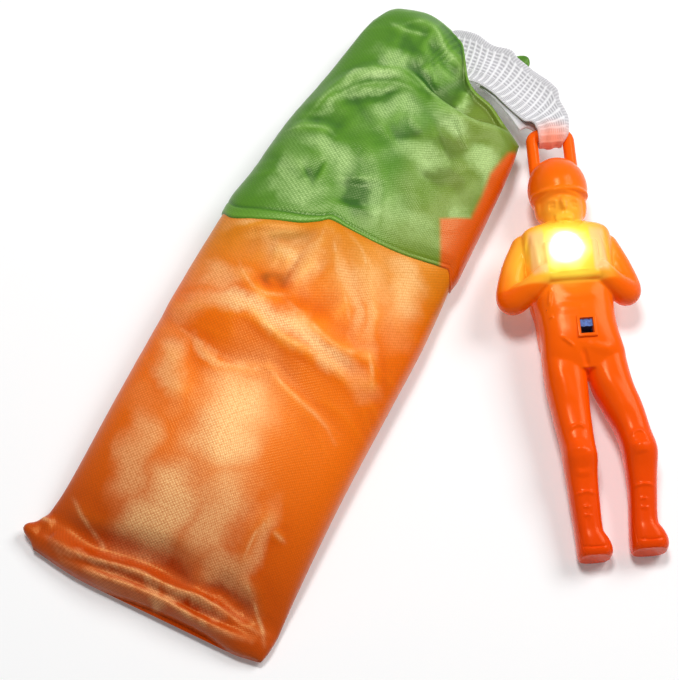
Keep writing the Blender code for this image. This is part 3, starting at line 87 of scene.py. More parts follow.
def linear(colour):
    """An sRGB hex colour as the linear one that Blender works in"""
    channels = [int(colour[place:place + 2], 16) / 255 for place in (1, 3, 5)]
    return (*((c / 12.92 if c <= 0.04045 else ((c + 0.055) / 1.055) ** 2.4) for c in channels), 1.0)


def new_material(name):
    """An empty node material and its output node"""
    material = bpy.data.materials.new(name)
    material.use_nodes = True
    material.node_tree.nodes.clear()
    return material, material.node_tree.nodes.new("ShaderNodeOutputMaterial")


def add_node(owner, kind, settings, links=None):
    """Add a node: its settings are its own fields or its sockets' values, and its links are outputs"""
    node = owner.node_tree.nodes.new(kind)
    for key, value in settings.items():
        if isinstance(key, str) and key[0].islower():
            setattr(node, key, value)
        else:
            node.inputs[key].default_value = value
    for key, output in (links or {}).items():
        owner.node_tree.links.new(output, node.inputs[key])
    return node


def join_output(owner, shader, output):
    """Make a shader what shows of a material or a world"""
    owner.node_tree.links.new(shader.outputs[0], output.inputs["Surface"])


def seen_rays(owner):
    """1 for what the camera, reflections and clear plastic see, and 0 for light that falls on the toy"""
    path = add_node(owner, "ShaderNodeLightPath", {})
    seen = path.outputs["Is Camera Ray"]
    for ray in ("Is Glossy Ray", "Is Transmission Ray"):
        either = add_node(owner, "ShaderNodeMath", {"operation": "MAXIMUM"}, {0: seen, 1: path.outputs[ray]})
        seen = either.outputs[0]
    return seen


# Matt white card: a plain diffuse white. What the camera and reflections see of it is lifted to white.
white_card, card_output = new_material("white_card")
card_diffuse = add_node(white_card, "ShaderNodeBsdfDiffuse", {"Color": linear("#F6F6F6")})
card_lift = add_node(white_card, "ShaderNodeMath", {"operation": "MULTIPLY", 1: CARD_LIFT}, {
    0: seen_rays(white_card),
})
card_glow = add_node(white_card, "ShaderNodeEmission", {"Color": linear("#FFFFFF")}, {
    "Strength": card_lift.outputs[0],
})
card_sum = add_node(white_card, "ShaderNodeAddShader", {}, {
    0: card_diffuse.outputs[0], 1: card_glow.outputs[0],
})
join_output(white_card, card_sum, card_output)

floor_mesh = bpy.data.meshes.new("floor")
floor_half = FLOOR_SIZE / 2
floor_mesh.from_pydata([
    (-floor_half, -floor_half, -FLOOR_DROP), (floor_half, -floor_half, -FLOOR_DROP),
    (floor_half, floor_half, -FLOOR_DROP), (-floor_half, floor_half, -FLOOR_DROP),
], [], [(0, 1, 2, 3)])
floor_mesh.materials.append(white_card)
floor = bpy.data.objects.new("floor", floor_mesh)
bpy.context.scene.collection.objects.link(floor)

# Studio light
# A soft box high behind the toy gives the satin its sheen, a larger one lower down behind it on the
# right throws the soft shadow past the foot and to the left, and an even pale room fills the rest.
ROOM_LEVEL = 0.11
# Name, turn and rise of the lamp as seen from the toy, distance, side and power
LAMPS = (
    ("overhead_box", math.radians(222.0), math.radians(75.0), 0.80, 0.18, 3.4),
    ("side_box", math.radians(148.0), math.radians(47.0), 0.90, 0.40, 4.2),
)

for name, turn, rise, distance, side, power in LAMPS:
    lamp_data = bpy.data.lights.new(name, "AREA")
    lamp_data.shape = "SQUARE"
    lamp_data.size = side
    lamp_data.energy = power
    studio_lamp = bpy.data.objects.new(name, lamp_data)
    bpy.context.scene.collection.objects.link(studio_lamp)
    studio_lamp.location = direction(turn, rise) * distance
    studio_lamp.rotation_euler = (-studio_lamp.location).to_track_quat("-Z", "Y").to_euler()

room = bpy.data.worlds.new("pale_room")
bpy.context.scene.world = room
room.use_nodes = True
room.node_tree.nodes.clear()
room_level = add_node(room, "ShaderNodeMapRange", {"To Min": ROOM_LEVEL, "To Max": 1.0}, {
    "Value": seen_rays(room),
})
room_back = add_node(room, "ShaderNodeBackground", {"Color": linear("#FFFFFF")}, {
    "Strength": room_level.outputs["Result"],
})
join_output(room, room_back, add_node(room, "ShaderNodeOutputWorld", {}))
bpy.context.scene.view_settings.view_transform = "Standard"

# Orange canopy
# The canopy is cut from satin-faced nylon, folded lengthways into a flat bundle and turned over at
# its foot, so its many layers make a soft pad with long slack folds and a pinched ear at one corner.
MM = 0.001
PACK_LENGTH = 0.150
PACK_WIDTH = 0.054
PACK_HEIGHT = 0.0145
PACK_FOOT_FROM_ORIGIN = 0.071
PACK_UNDERSIDE = -0.0005
PACK_HALF_MM = 27.0
PACK_END_FROM_MOUTH = 0.012
PACK_BASE_RAMP = 0.006
SLEEVE_ROOM = 0.0013
MOUTH_LIFT = 0.0034
MOUTH_LIFT_REACH = 0.030
BUNDLE_EXPONENT = 2.6
SIDE_SEAM_SHARE = 0.38
CANOPY_ROWS = 300
CLOTH_STEP = 0.00045
UNDERSIDE_STEP = 0.0015
UNDERSIDE_TURNS = (1.08, 1.92)
FOOT_ROUNDING = 0.0005
FOOT_ROUNDING_RINGS = 9
# Along the pack from its foot, then its left and right edge, as shares of its width
PACK_EDGE_SHARES = (
    (0.000, -0.430, 0.455),
    (0.018, -0.490, 0.500),
    (0.032, -0.545, 0.512),
    (0.055, -0.500, 0.515),
    (0.110, -0.476, 0.506),
    (0.260, -0.481, 0.489),
    (0.410, -0.489, 0.485),
    (0.510, -0.491, 0.483),
    (0.580, -0.482, 0.472),
    (0.640, -0.458, 0.461),
    (0.740, -0.437, 0.450),
    (0.830, -0.396, 0.435),
    (0.880, -0.376, 0.410),
    (0.950, -0.350, 0.375),
    (1.000, -0.325, 0.335),
)
# Along the pack from its foot, then the height of its crown as a share of its height
PACK_CROWN_SHARES = (
    (0.000, 0.33),
    (0.012, 0.40),
    (0.035, 0.42),
    (0.058, 0.38),
    (0.080, 0.50),
    (0.120, 0.70),
    (0.200, 0.90),
    (0.330, 1.00),
    (0.600, 1.00),
    (0.760, 0.93),
    (0.860, 0.82),
    (0.930, 0.70),
    (1.000, 0.52),
)
# Across the pack from its left edge to its right one, then the sleeve's hem along the pack
HEM_SHARES = (
    (-1.00, 0.561),
    (-0.87, 0.552),
    (-0.70, 0.559),
    (-0.48, 0.572),
    (-0.32, 0.582),
    (-0.19, 0.596),
    (-0.13, 0.605),
    (0.02, 0.605),
    (0.26, 0.604),
    (0.53, 0.607),
    (0.72, 0.614),
    (0.87, 0.622),
    (0.94, 0.625),
    (1.00, 0.608),
)
# The same for the sleeve's mouth at the other end
MOUTH_SHARES = (
    (-1.00, 0.955),
    (-0.92, 0.985),
    (-0.75, 0.998),
    (-0.50, 1.005),
    (-0.25, 0.999),
    (0.02, 0.983),
    (0.12, 0.963),
    (0.20, 0.943),
    (0.28, 0.926),
    (0.40, 0.913),
    (0.60, 0.903),
    (0.75, 0.888),
    (1.00, 0.862),
)
# The same across, then where the foot ends, in millimetres
FOOT_LINE = (
    (-1.00, -68.9),
    (-0.66, -70.0),
    (-0.30, -69.9),
    (0.10, -69.0),
    (0.50, -68.7),
    (0.80, -69.2),
    (1.00, -68.2),
)
# Creases in millimetres: height, half width on the left and right of the way they run, rounding of
# the crest, and the points they run through
ORANGE_CREASES = (
    (0.55, 5.0, 4.0, 0.5, ((-22.7, 9.2), (-16.6, 12.4), (-10.7, 16.6), (-5.3, 18.3))),
    (-0.7, 4.5, 5.0, 1.2, ((-20.0, 6.9), (-14.6, 10.3), (-9.6, 13.7), (-3.8, 15.4))),
    (0.5, 4.0, 4.0, 1.0, ((-11.5, 8.2), (-8.1, 8.9), (-4.5, 8.5))),
    (-0.45, 5.5, 5.5, 1.5, ((-10.4, -0.1), (-7.1, 2.7), (-2.2, 4.2))),
    (0.4, 2.6, 3.2, 0.4, ((-15.8, 2.8), (-12.8, 0.0), (-7.8, -2.3), (-2.3, 0.0))),
    (0.45, 3.0, 3.6, 0.35, ((-3.6, 18.7), (-2.5, 12.9), (-1.4, 4.6))),
    (0.5, 3.2, 4.0, 0.35, ((-2.0, 18.4), (2.4, 12.3), (6.5, 7.2), (13.0, -1.7))),
    (0.6, 4.0, 5.0, 0.35, ((0.8, 19.4), (6.1, 16.6), (11.1, 10.1), (15.3, 3.3), (16.6, -3.4))),
    (0.55, 3.6, 4.4, 0.35, ((16.5, -1.7), (14.8, -4.8), (11.0, -5.6), (4.4, -3.7), (-3.1, -1.2))),
    (-0.5, 6.0, 6.0, 3.0, ((-9.0, -2.6), (2.0, 1.0), (9.0, 0.8))),
    (0.35, 2.2, 3.0, 0.3, (
        (-19.5, -8.6), (-9.5, -6.4), (0.4, -9.1), (7.2, -9.1), (14.3, -10.1), (22.1, -11.8),
    )),
    (0.5, 3.0, 5.0, 0.3, ((16.5, -1.7), (20.0, -6.7), (22.2, -11.5))),
    (0.22, 2.2, 3.2, 0.3, (
        (-23.2, -16.8), (-18.8, -16.2), (-11.6, -18.8), (-7.2, -19.6), (-2.5, -18.1), (1.8, -16.6),
        (5.8, -18.0), (10.9, -19.6), (16.3, -21.0), (20.6, -23.6),
    )),
    (0.35, 4.0, 4.5, 1.0, ((-20.3, -18.8), (-15.7, -24.8), (-11.3, -31.5))),
    (-0.25, 5.0, 5.0, 3.0, ((-10.0, -28.8), (-6.1, -39.1), (-1.6, -48.8))),
    (0.35, 4.0, 3.0, 0.3, ((-22.8, -56.9), (-16.2, -60.9), (-10.9, -63.6))),
    (0.2, 1.8, 1.8, 0.25, ((17.5, -45.3), (20.8, -46.2))),
    (0.45, 4.0, 4.0, 0.4, ((16.8, -40.1), (15.9, -44.8), (15.0, -47.9), (15.3, -53.2), (16.4, -56.8))),
    (0.45, 4.0, 3.5, 0.4, ((15.6, -54.9), (19.8, -58.3), (23.8, -62.3), (26.5, -65.6))),
    (1.9, 3.4, 1.6, 0.3, (
        (-24.2, -66.2), (-18.2, -66.9), (-12.0, -66.2), (-4.1, -64.9), (4.5, -64.7), (13.1, -63.6),
        (18.8, -63.5), (24.3, -64.1),
    )),
    (-1.9, 5.5, 3.6, 1.2, ((-21.6, -65.4), (-13.6, -64.1), (-5.4, -62.0), (1.9, -61.2), (9.4, -63.0))),
    (-1.4, 4.5, 3.0, 1.0, ((9.6, -60.1), (15.8, -61.1), (22.9, -62.5))),
    (0.45, 3.0, 3.0, 0.5, ((6.0, -59.4), (9.0, -61.6), (11.5, -64.4))),
    (1.2, 1.4, 1.4, 0.3, (
        (-19.1, -68.9), (-11.1, -68.4), (-3.2, -67.4), (3.9, -66.8), (11.3, -67.3), (19.5, -67.0),
        (23.9, -66.2),
    )),
    (-1.4, 1.2, 1.2, 0.4, (
        (-20.8, -68.0), (-12.1, -67.3), (-4.0, -66.3), (4.4, -65.9), (13.2, -65.6), (23.5, -65.2),
    )),
    (0.9, 2.0, 2.0, 0.3, ((-26.5, -56.6), (-28.2, -60.2), (-29.7, -64.1), (-29.3, -67.3), (-26.1, -69.5))),
    (0.7, 1.8, 1.8, 0.25, ((-28.7, -62.6), (-26.0, -63.1), (-24.0, -62.6))),
    (-0.8, 2.2, 2.2, 0.4, ((-27.7, -65.9), (-25.4, -65.7), (-22.4, -66.1))),
)
# Under the upper third the cloth drops in one slope: across, then the slope's top and bottom along the
# pack and its drop, in millimetres
ORANGE_STEP = (
    (-27.0, -10.0, -13.5, 0.2),
    (-22.0, -10.8, -14.6, 0.5),
    (-18.0, -10.0, -15.8, 1.1),
    (-11.0, -9.0, -18.2, 1.9),
    (-4.0, -8.8, -18.0, 1.9),
    (4.0, -9.8, -16.8, 1.4),
    (10.0, -10.6, -18.0, 1.0),
    (16.0, -11.2, -19.5, 0.7),
    (22.0, -12.0, -21.0, 0.3),
    (27.0, -12.5, -21.0, 0.1),
)
# Painted sheen on the satin's face, or painted shade where the share is below 0: share, half width, points
ORANGE_SHEEN = (
    (0.75, 9, ((-1.5, -18.3), (-0.8, -26.0), (0.2, -34.1), (-0.2, -42.1))),
    (0.62, 8.5, ((-1.4, -40.0), (-3.4, -48.8), (-5.1, -56.7), (-6.3, -62.8))),
    (0.48, 6.5, ((6.0, -36.2), (6.1, -43.9), (6.2, -51.5), (4.4, -57.9))),
    (0.45, 3.6, ((-21.6, -16.0), (-17.4, -24.2), (-12.2, -31.7))),
    (0.4, 5, ((-18.0, -33.0), (-14.6, -42.8), (-11.6, -54.5))),
    (0.75, 3.4, ((-21.3, -11.5), (-14.7, -7.0), (-6.3, -5.6), (3.9, -6.6), (13.2, -8.5), (20.1, -10.0))),
    (0.4, 1.5, ((-19.0, -15.6), (-13.2, -18.5), (-7.2, -19.4), (-1.5, -18.3), (2.0, -17.2))),
    (0.45, 2.2, ((0.9, 16.5), (5.4, 10.4), (11.0, 3.5), (15.2, -1.8))),
    (0.4, 1.6, ((4.2, 16.7), (10.7, 10.9), (14.9, 4.1), (17.4, -3.5))),
    (0.6, 3, ((-11.5, 9.3), (-6.9, 8.6), (-2.0, 7.3))),
    (0.4, 3, ((-2.8, 15.3), (-2.4, 7.9), (-1.2, 3.2))),
    (0.5, 4.5, ((10.1, 19.7), (16.3, 17.4), (18.6, 10.0), (20.0, 4.4))),
    (0.35, 7, ((6.0, 14.0), (10.0, 10.0), (13.0, 5.0))),
    (0.35, 6, ((-14.0, 8.0), (-8.0, 10.5), (-2.0, 12.0))),
    (0.5, 2, ((-22.9, 10.6), (-17.5, 14.2), (-12.5, 17.0))),
    (0.4, 4.5, ((-23.3, -2.8), (-16.9, -1.7), (-11.3, -4.1))),
    (0.35, 1.2, ((-23.5, -66.7), (-15.8, -66.9), (-4.2, -65.4), (5.4, -65.6), (13.9, -63.8), (22.8, -64.0))),
    (0.3, 2.6, ((16.0, -39.7), (15.6, -47.6), (16.4, -55.8), (21.6, -61.6))),
    (0.35, 5, ((7.2, -53.8), (12.8, -56.4), (16.9, -59.1))),
    (-0.08, 4.5, ((-20.0, -13.9), (-11.9, -13.4), (-4.1, -12.3), (3.9, -11.8))),
    (-0.4, 1.8, ((-20.7, 7.8), (-13.5, 11.6), (-7.4, 14.8))),
    (-0.3, 2.6, ((-13.0, 13.4), (-9.0, 15.2), (-5.6, 14.0), (-4.2, 9.8))),
    (-0.9, 2.6, ((-20.3, -65.0), (-10.3, -64.4), (-1.0, -62.7), (5.7, -61.2), (10.4, -62.3))),
    (-0.9, 2.2, ((9.5, -60.7), (15.5, -61.7), (21.4, -62.7))),
    (-0.4, 2.2, ((-10.5, -1.7), (-8.0, 2.7), (-1.6, 3.8))),
)
# In millimetres: how much fuller the crown is than the plain bundle, how far the cloth under the sleeve
# is drawn in, and what part of the slack ripples shows
CROWN_ROUNDING = 1.0
TUCK_DROP = 5.0
SLACK_SIZE = 0.35
# Crests rounded by less than this get a painted pale highlight line; then the half width of that line
SHEEN_LINE_CREST = 0.45
SHEEN_LINE_WIDTH = 0.42
SHEEN_LINE_SHARE = 0.5
# How the borders of the painted sheen and shade patches wander across and along: by how much, over what length, and
# noise seed
PATCH_WANDER = (((2.2, 6.0, 61), (0.5, 1.3, 62)), ((2.2, 6.0, 63), (0.5, 1.3, 64)))
# How much the painted shade patches darken the cloth, then the smoothing passes and gain that find its painted shade
# in the hollows
PAINTED_DEEP_SHARE = 0.6
HOLLOW_PASSES = 14
HOLLOW_GAIN = 2.2


def smooth_step(share):
    """Ease from 0 to 1, and stay level outside"""
    share = np.clip(share, 0.0, 1.0)
    return share * share * (3.0 - 2.0 * share)


def fade_ends(share, reach):
    """Fade a line out over a part of its length at both ends"""
    return smooth_step(share / reach) * smooth_step((1.0 - share) / reach)


def quarter_round(share):
    """The height of a rounded edge as a share of the whole, from its rim inwards"""
    return np.sqrt(np.clip(1.0 - (1.0 - np.clip(share, 0.0, 1.0)) ** 2, 0.0, 1.0))


def round_section(angle, exponent):
    """Across and rise from -1 to 1 round the section of a box with soft corners"""
    return tuple(np.sign(turn) * np.abs(turn) ** (2.0 / exponent) for turn in (np.cos(angle), np.sin(angle)))


def passed_lengths(steps):
    """The length passed at the start and after each step"""
    return np.concatenate([[0.0], np.cumsum(steps)])


def table_at(rows, places, column=1):
    """Read a column of a table at many places along its first column, on a smooth curve"""
    keys = np.array([row[0] for row in rows])
    values = np.array([row[column] for row in rows])
    before = np.maximum(np.arange(len(rows)) - 1, 0)
    after = np.minimum(np.arange(len(rows)) + 1, len(rows) - 1)
    slopes = (values[after] - values[before]) / (keys[after] - keys[before])
    places = np.clip(places, keys[0], keys[-1])
    index = np.clip(np.searchsorted(keys, places, side="right") - 1, 0, len(rows) - 2)
    step = keys[index + 1] - keys[index]
    t = (places - keys[index]) / step
    return (
        (2 * t**3 - 3 * t**2 + 1) * values[index] + (t**3 - 2 * t**2 + t) * step * slopes[index]
        + (-2 * t**3 + 3 * t**2) * values[index + 1] + (t**3 - t**2) * step * slopes[index + 1]
    )


def pack_y(share):
    """A place along the pack from its share of the length"""
    return share * PACK_LENGTH - PACK_FOOT_FROM_ORIGIN


def bundle_angles():
    """Angles round the bundle's section, close together on top and wide apart underneath"""
    angle = np.linspace(0.0, math.tau, 4001)
    across, rise = round_section(angle, BUNDLE_EXPONENT)
    steps = np.hypot(np.diff(across * PACK_WIDTH / 2), np.diff(rise * PACK_HEIGHT / 2))
    length = passed_lengths(steps)
    lowest = np.interp(UNDERSIDE_TURNS[0] * math.pi, angle, length)
    highest = np.interp(UNDERSIDE_TURNS[1] * math.pi, angle, length)
    upper = np.arange(highest - length[-1], lowest, CLOTH_STEP)
    lower = np.arange(lowest, highest, UNDERSIDE_STEP)
    places = np.concatenate([upper, lower])
    return np.interp(places % length[-1], length, angle)


def bundle_surface(start, end, shares, grow):
    """Points round the bundle along its length, moved out from its plain surface, as a grid"""
    across, rise = round_section(bundle_angles()[None, :], BUNDLE_EXPONENT)
    shares = np.asarray(shares)[:, None]
    y = start(across) + (end(across) - start(across)) * shares
    share = (y + PACK_FOOT_FROM_ORIGIN) / PACK_LENGTH
    left = table_at(PACK_EDGE_SHARES, share, 1) * PACK_WIDTH
    right = table_at(PACK_EDGE_SHARES, share, 2) * PACK_WIDTH
    crown = table_at(PACK_CROWN_SHARES, share) * PACK_HEIGHT
    hem = pack_y(table_at(HEM_SHARES, across))
    mouth = pack_y(table_at(MOUTH_SHARES, across))
    cover = smooth_step((y - hem) / PACK_BASE_RAMP + 1.0)
    lift = MOUTH_LIFT * (1.0 - smooth_step((mouth - y) / MOUTH_LIFT_REACH))
    base = PACK_UNDERSIDE + SLEEVE_ROOM * cover + lift
    seam = base + (crown - base) * SIDE_SEAM_SHARE
    grow = np.asarray(grow)
    x = (left + right) / 2 + ((right - left) / 2 + grow) * across
    z = np.where(rise >= 0.0, seam + (crown + grow - seam) * rise, seam + (seam - base + grow) * rise)
    return np.stack([x, np.broadcast_to(y, x.shape), z], axis=-1), rise, seam


def surface_normals(points):
    """The outward direction at each point of a grid that closes on itself sideways"""
    round_way = np.roll(points, -1, axis=1) - np.roll(points, 1, axis=1)
    long_way = np.gradient(points, axis=0)
    normals = np.cross(long_way, round_way)
    return normals / np.maximum(np.linalg.norm(normals, axis=-1, keepdims=True), 1e-12)


def polyline_distance(points, x, y):
    """Signed distance to a line through points, and the share of its length at the nearest place"""
    points = np.array(points)
    runs = np.diff(points, axis=0)
    lengths = np.hypot(runs[:, 0], runs[:, 1])
    total = lengths.sum()
    best = np.full(x.shape, 1e9)
    signed = np.zeros(x.shape)
    share = np.zeros(x.shape)
    passed = 0.0
    for (px, py), (rx, ry), length in zip(points, runs, lengths):
        t = np.clip(((x - px) * rx + (y - py) * ry) / length**2, 0.0, 1.0)
        dx = x - px - t * rx
        dy = y - py - t * ry
        distance = np.hypot(dx, dy)
        closer = distance < best
        side = np.sign(rx * dy - ry * dx)
        best = np.where(closer, distance, best)
        signed = np.where(closer, distance * side, signed)
        share = np.where(closer, (passed + t * length) / total, share)
        passed += length
    return signed, share


def smooth_line(points, count=8):
    """More points on the smooth curve through a few"""
    rows = [(index, *point) for index, point in enumerate(points)]
    places = np.linspace(0, len(points) - 1, (len(points) - 1) * count + 1)
    return np.stack([table_at(rows, places, 1), table_at(rows, places, 2)], axis=-1)


def crease_heights(creases, x, y):
    """Height in millimetres that creases add at places in millimetres"""
    total = np.zeros(x.shape)
    for height, left, right, crest, points in creases:
        signed, share = polyline_distance(smooth_line(points), x, y)
        width = np.where(signed > 0.0, left, right)
        rounded = np.sqrt(signed**2 + crest**2) - crest
        flank = np.clip(1.0 - rounded / width, 0.0, 1.0)
        total += height * flank**2 * (2.0 - flank) * (0.1 + 0.9 * fade_ends(share, 0.30))
    return total


def cloth_noise(x, y, seed):
    """Smooth even noise from -1 to 1 over a plane, the same on each run"""
    gradients = np.random.default_rng(seed).normal(size=(64, 64, 2))
    gradients /= np.linalg.norm(gradients, axis=-1, keepdims=True)
    left = np.floor(x).astype(int)
    low = np.floor(y).astype(int)
    fx = x - left
    fy = y - low
    corners = []
    for step_x in (0, 1):
        for step_y in (0, 1):
            gradient = gradients[(left + step_x) % 64, (low + step_y) % 64]
            corners.append(gradient[..., 0] * (fx - step_x) + gradient[..., 1] * (fy - step_y))
    ease_x = fx**3 * (fx * (fx * 6 - 15) + 10)
    ease_y = fy**3 * (fy * (fy * 6 - 15) + 10)
    near = corners[0] + (corners[1] - corners[0]) * ease_y
    far = corners[2] + (corners[3] - corners[2]) * ease_y
    return (near + (far - near) * ease_x) * 1.5


def taut_lines(creases, x, y):
    """From 0 to 1 along the sharp crests, where a pale sheen line is painted into the cloth's colour"""
    best = np.zeros(x.shape)
    for height, _, _, crest, points in creases:
        if height <= 0.0 or crest > SHEEN_LINE_CREST:
            continue
        signed, share = polyline_distance(smooth_line(points), x, y)
        line = np.exp(-((signed / SHEEN_LINE_WIDTH) ** 2)) * (0.25 + 0.75 * fade_ends(share, 0.25))
        broken = 0.65 + 0.5 * cloth_noise(x / 1.7, y / 1.7, 91)
        best = np.maximum(best, line * broken)
    return np.clip(best * SHEEN_LINE_SHARE, 0.0, 1.0)


def painted_sheen_and_shade(rows, x, y):
    """How much painted sheen and how much painted shade lie on the cloth, from 0 to 1, with uneven borders"""
    painted_pale = np.zeros(x.shape)
    painted_deep = np.zeros(x.shape)
    warped_x, warped_y = (
        start + sum(size * cloth_noise(x / length, y / length, seed) for size, length, seed in waves)
        for start, waves in zip((x, y), PATCH_WANDER)
    )
    for share, width, points in rows:
        signed, along = polyline_distance(smooth_line(points), warped_x, warped_y)
        cover = smooth_step((1.0 - np.abs(signed) / (width * 1.2)) * 1.15)
        cover = cover * (0.25 + 0.75 * fade_ends(along, 0.3))
        if share > 0.0:
            painted_pale = np.maximum(painted_pale, share * cover)
        else:
            painted_deep = np.maximum(painted_deep, -share * cover)
    return painted_pale * (1.0 - painted_deep), painted_deep


def slack_heights(x, y, turn, seed):
    """Low slack ripples in millimetres: long across the way they run, with a few sharper crests"""
    along = x * math.cos(turn) + y * math.sin(turn)
    side = -x * math.sin(turn) + y * math.cos(turn)
    warp = 1.6 * cloth_noise(along / 11.0, side / 11.0, seed + 1)
    broad = cloth_noise(along / 22.0, side / 10.0 + warp * 0.4, seed + 2)
    ridged = 1.0 - np.abs(cloth_noise(along / 17.0 + 7.3, (side + warp) / 6.5, seed + 3)) * 1.7
    fine = cloth_noise(along / 7.0, side / 3.6 + warp, seed + 4)
    return 0.26 * broad + 0.16 * np.clip(ridged, 0.0, 1.0) ** 2 + 0.035 * fine


def cloth_object(name, points, closed_long_way=False):
    """A mesh from a grid of points that closes on itself sideways, with a map of the cloth in metres"""
    rows, columns = points.shape[:2]
    mesh = bpy.data.meshes.new(name)
    around = np.linalg.norm(np.roll(points, -1, axis=1) - points, axis=-1).mean(axis=0)
    along = np.linalg.norm(np.diff(points, axis=0), axis=-1).mean(axis=1)
    u = passed_lengths(around)
    v = passed_lengths(along)
    index = np.arange(rows * columns).reshape(rows, columns)
    after = np.roll(index, -1, axis=1)
    if closed_long_way:
        low, low_after = index, after
        high_after, high = np.roll(after, -1, axis=0), np.roll(index, -1, axis=0)
    else:
        low, low_after, high_after, high = index[:-1], after[:-1], after[1:], index[1:]
    faces = np.stack([low, low_after, high_after, high], axis=-1).reshape(-1, 4)
    mesh.from_pydata(points.reshape(-1, 3).tolist(), [], faces.tolist())
    face_rows = low.shape[0]
    grid_u = np.broadcast_to(u[None, :], (face_rows + 1, columns + 1))
    grid_v = np.broadcast_to(np.append(v, v[-1])[:face_rows + 1, None], (face_rows + 1, columns + 1))
    here, beyond = slice(None, -1), slice(1, None)
    corners = np.stack([
        np.stack([grid_u[row, column], grid_v[row, column]], -1)
        for row, column in ((here, here), (here, beyond), (beyond, beyond), (beyond, here))
    ], axis=2)
    mesh.uv_layers.new(name="cloth").data.foreach_set("uv", corners.astype(np.float32).reshape(-1))
    if not closed_long_way:
        bm = bmesh.new()
        bm.from_mesh(mesh)
        bmesh.ops.holes_fill(bm, edges=[edge for edge in bm.edges if edge.is_boundary], sides=0)
        bm.to_mesh(mesh)
        bm.free()
    mesh.shade_smooth()
    item = bpy.data.objects.new(name, mesh)
    bpy.context.scene.collection.objects.link(item)
    return item


def set_shades(item, **shares):
    """Numbers for each point of a mesh that its material reads"""
    for name, values in shares.items():
        attribute = item.data.attributes.new(name, "FLOAT", "POINT")
        attribute.data.foreach_set("value", np.asarray(values, dtype=np.float32).reshape(-1))


def hollow_share(heights):
    """From 0 in the hollows of a height grid to 1 on its crests: painted shade in the hollows, painted light on the
    crests
    """
    soft = heights.copy()
    for _ in range(HOLLOW_PASSES):
        spread = soft
        for way, axis in ((1, 0), (-1, 0), (1, 1), (-1, 1)):
            spread = spread + np.roll(soft, way, axis)
        soft = spread / 5
    return np.clip(0.5 + (heights - soft) * HOLLOW_GAIN, 0.0, 1.0)


def dress_with_folds(points, rise, heights):
    """Move a grid out along its own directions by heights in millimetres, less so down its sides"""
    reach = smooth_step((rise + 0.25) / 0.75)
    moved = points + surface_normals(points) * (heights * MM * reach)[..., None]
    moved[..., 2] = np.maximum(moved[..., 2], 0.0)
    return moved


orange_shares = np.linspace(0.0, 1.0, CANOPY_ROWS)
orange_points, orange_rise, orange_seam = bundle_surface(
    lambda across: table_at(FOOT_LINE, across) * MM,
    lambda across: pack_y(table_at(MOUTH_SHARES, across)) - PACK_END_FROM_MOUTH,
    orange_shares, 0.0,
)
orange_x = orange_points[..., 0] / MM
orange_y = orange_points[..., 1] / MM
hem_line = pack_y(table_at(HEM_SHARES, np.clip(orange_x / PACK_HALF_MM, -1.0, 1.0))) / MM
uncovered = 1.0 - smooth_step((orange_y - hem_line + 1.5) / 3.0)
slack_room = smooth_step((orange_y + 66.0) / 8.0)
from_foot = orange_y - orange_y[:1]
step_top, step_bottom, step_drop = (table_at(ORANGE_STEP, orange_x, column) for column in (1, 2, 3))
down_step = np.clip((orange_y - step_bottom) / (step_top - step_bottom), 0.0, 1.0)
down_step = down_step * 0.75 + smooth_step(down_step) * 0.25
to_hem = smooth_step((hem_line - orange_y) / 26.0)
tucked_in = smooth_step((orange_y - 46.0) / 10.0)
upper_slack = slack_room * smooth_step((orange_y + 34.0) / 16.0) * SLACK_SIZE
roundness = 1.0 - np.clip(np.abs(orange_x) / PACK_HALF_MM, 0.0, 1.0) ** 2
orange_heights = -TUCK_DROP * tucked_in + uncovered * (
    crease_heights(ORANGE_CREASES, orange_x, orange_y) * smooth_step((from_foot + 0.2) / 1.8)
    + slack_heights(orange_x, orange_y, math.radians(-28.0), 5) * upper_slack
    + step_drop * down_step * (0.25 + 0.75 * to_hem)
    + CROWN_ROUNDING * roundness * slack_room * to_hem
)
orange_points = dress_with_folds(orange_points, orange_rise, orange_heights)
# The foot rounds off to a closed edge
for ring in range(FOOT_ROUNDING_RINGS):
    share = ring / FOOT_ROUNDING_RINGS
    seam = orange_seam[ring]
    orange_points[ring, :, 2] = seam + (orange_points[ring, :, 2] - seam) * quarter_round(share)
    orange_points[ring, :, 1] -= FOOT_ROUNDING * (1.0 - share) ** 2
canopy = cloth_object("folded_canopy", orange_points)
# The canopy's colours: painted shade in its hollows and patches, painted light on its crests, painted sheen, a
# painted reflection of the green sleeve near the hem, and painted shade towards the foot
orange_painted_pale, orange_painted_deep = painted_sheen_and_shade(ORANGE_SHEEN, orange_x, orange_y)
set_shades(
    canopy,
    crest=np.clip(hollow_share(orange_heights) - PAINTED_DEEP_SHARE * orange_painted_deep, 0.0, 1.0),
    taut=uncovered * np.maximum(taut_lines(ORANGE_CREASES, orange_x, orange_y), orange_painted_pale),
    # painted reflection of the green sleeve, paler and greener near its hem
    side_panel=0.6 * smooth_step((orange_y - hem_line + 22.0) / 20.0),
    # painted shade: darker towards the foot
    foot=smooth_step((orange_points[..., 1] / MM + 20.0) / -50.0),
)

# Satin-faced nylon, woven in a fine diagonal twill and dyed orange: a strong soft sheen, with a cream sheen painted
# where it would face the light, painted shade in its hollows, and deep plain orange between. Its threads lie about
# 0.15 mm apart, too fine to show, so they are drawn at 0.52 mm, with uneven patches of glints of about the same size.
THREAD_PITCH = 0.00052
THREAD_WOBBLE = {"Distortion": 2.0, "Detail Scale": 0.08}
THREAD_HEIGHT = 0.00006
THREADS_CROSS_AT = math.radians(52.0)
MOTTLE_PITCH = 0.0006
MOTTLE_SHARE = 1.4
# Where the deep, hollow, plain and crest colours stand along the crest share: painted shade in the hollows, painted
# light on the crests
FACE_PLACES = (0.02, 0.28, 0.50, 0.80)
WAVE_TURNS = math.tau / 20


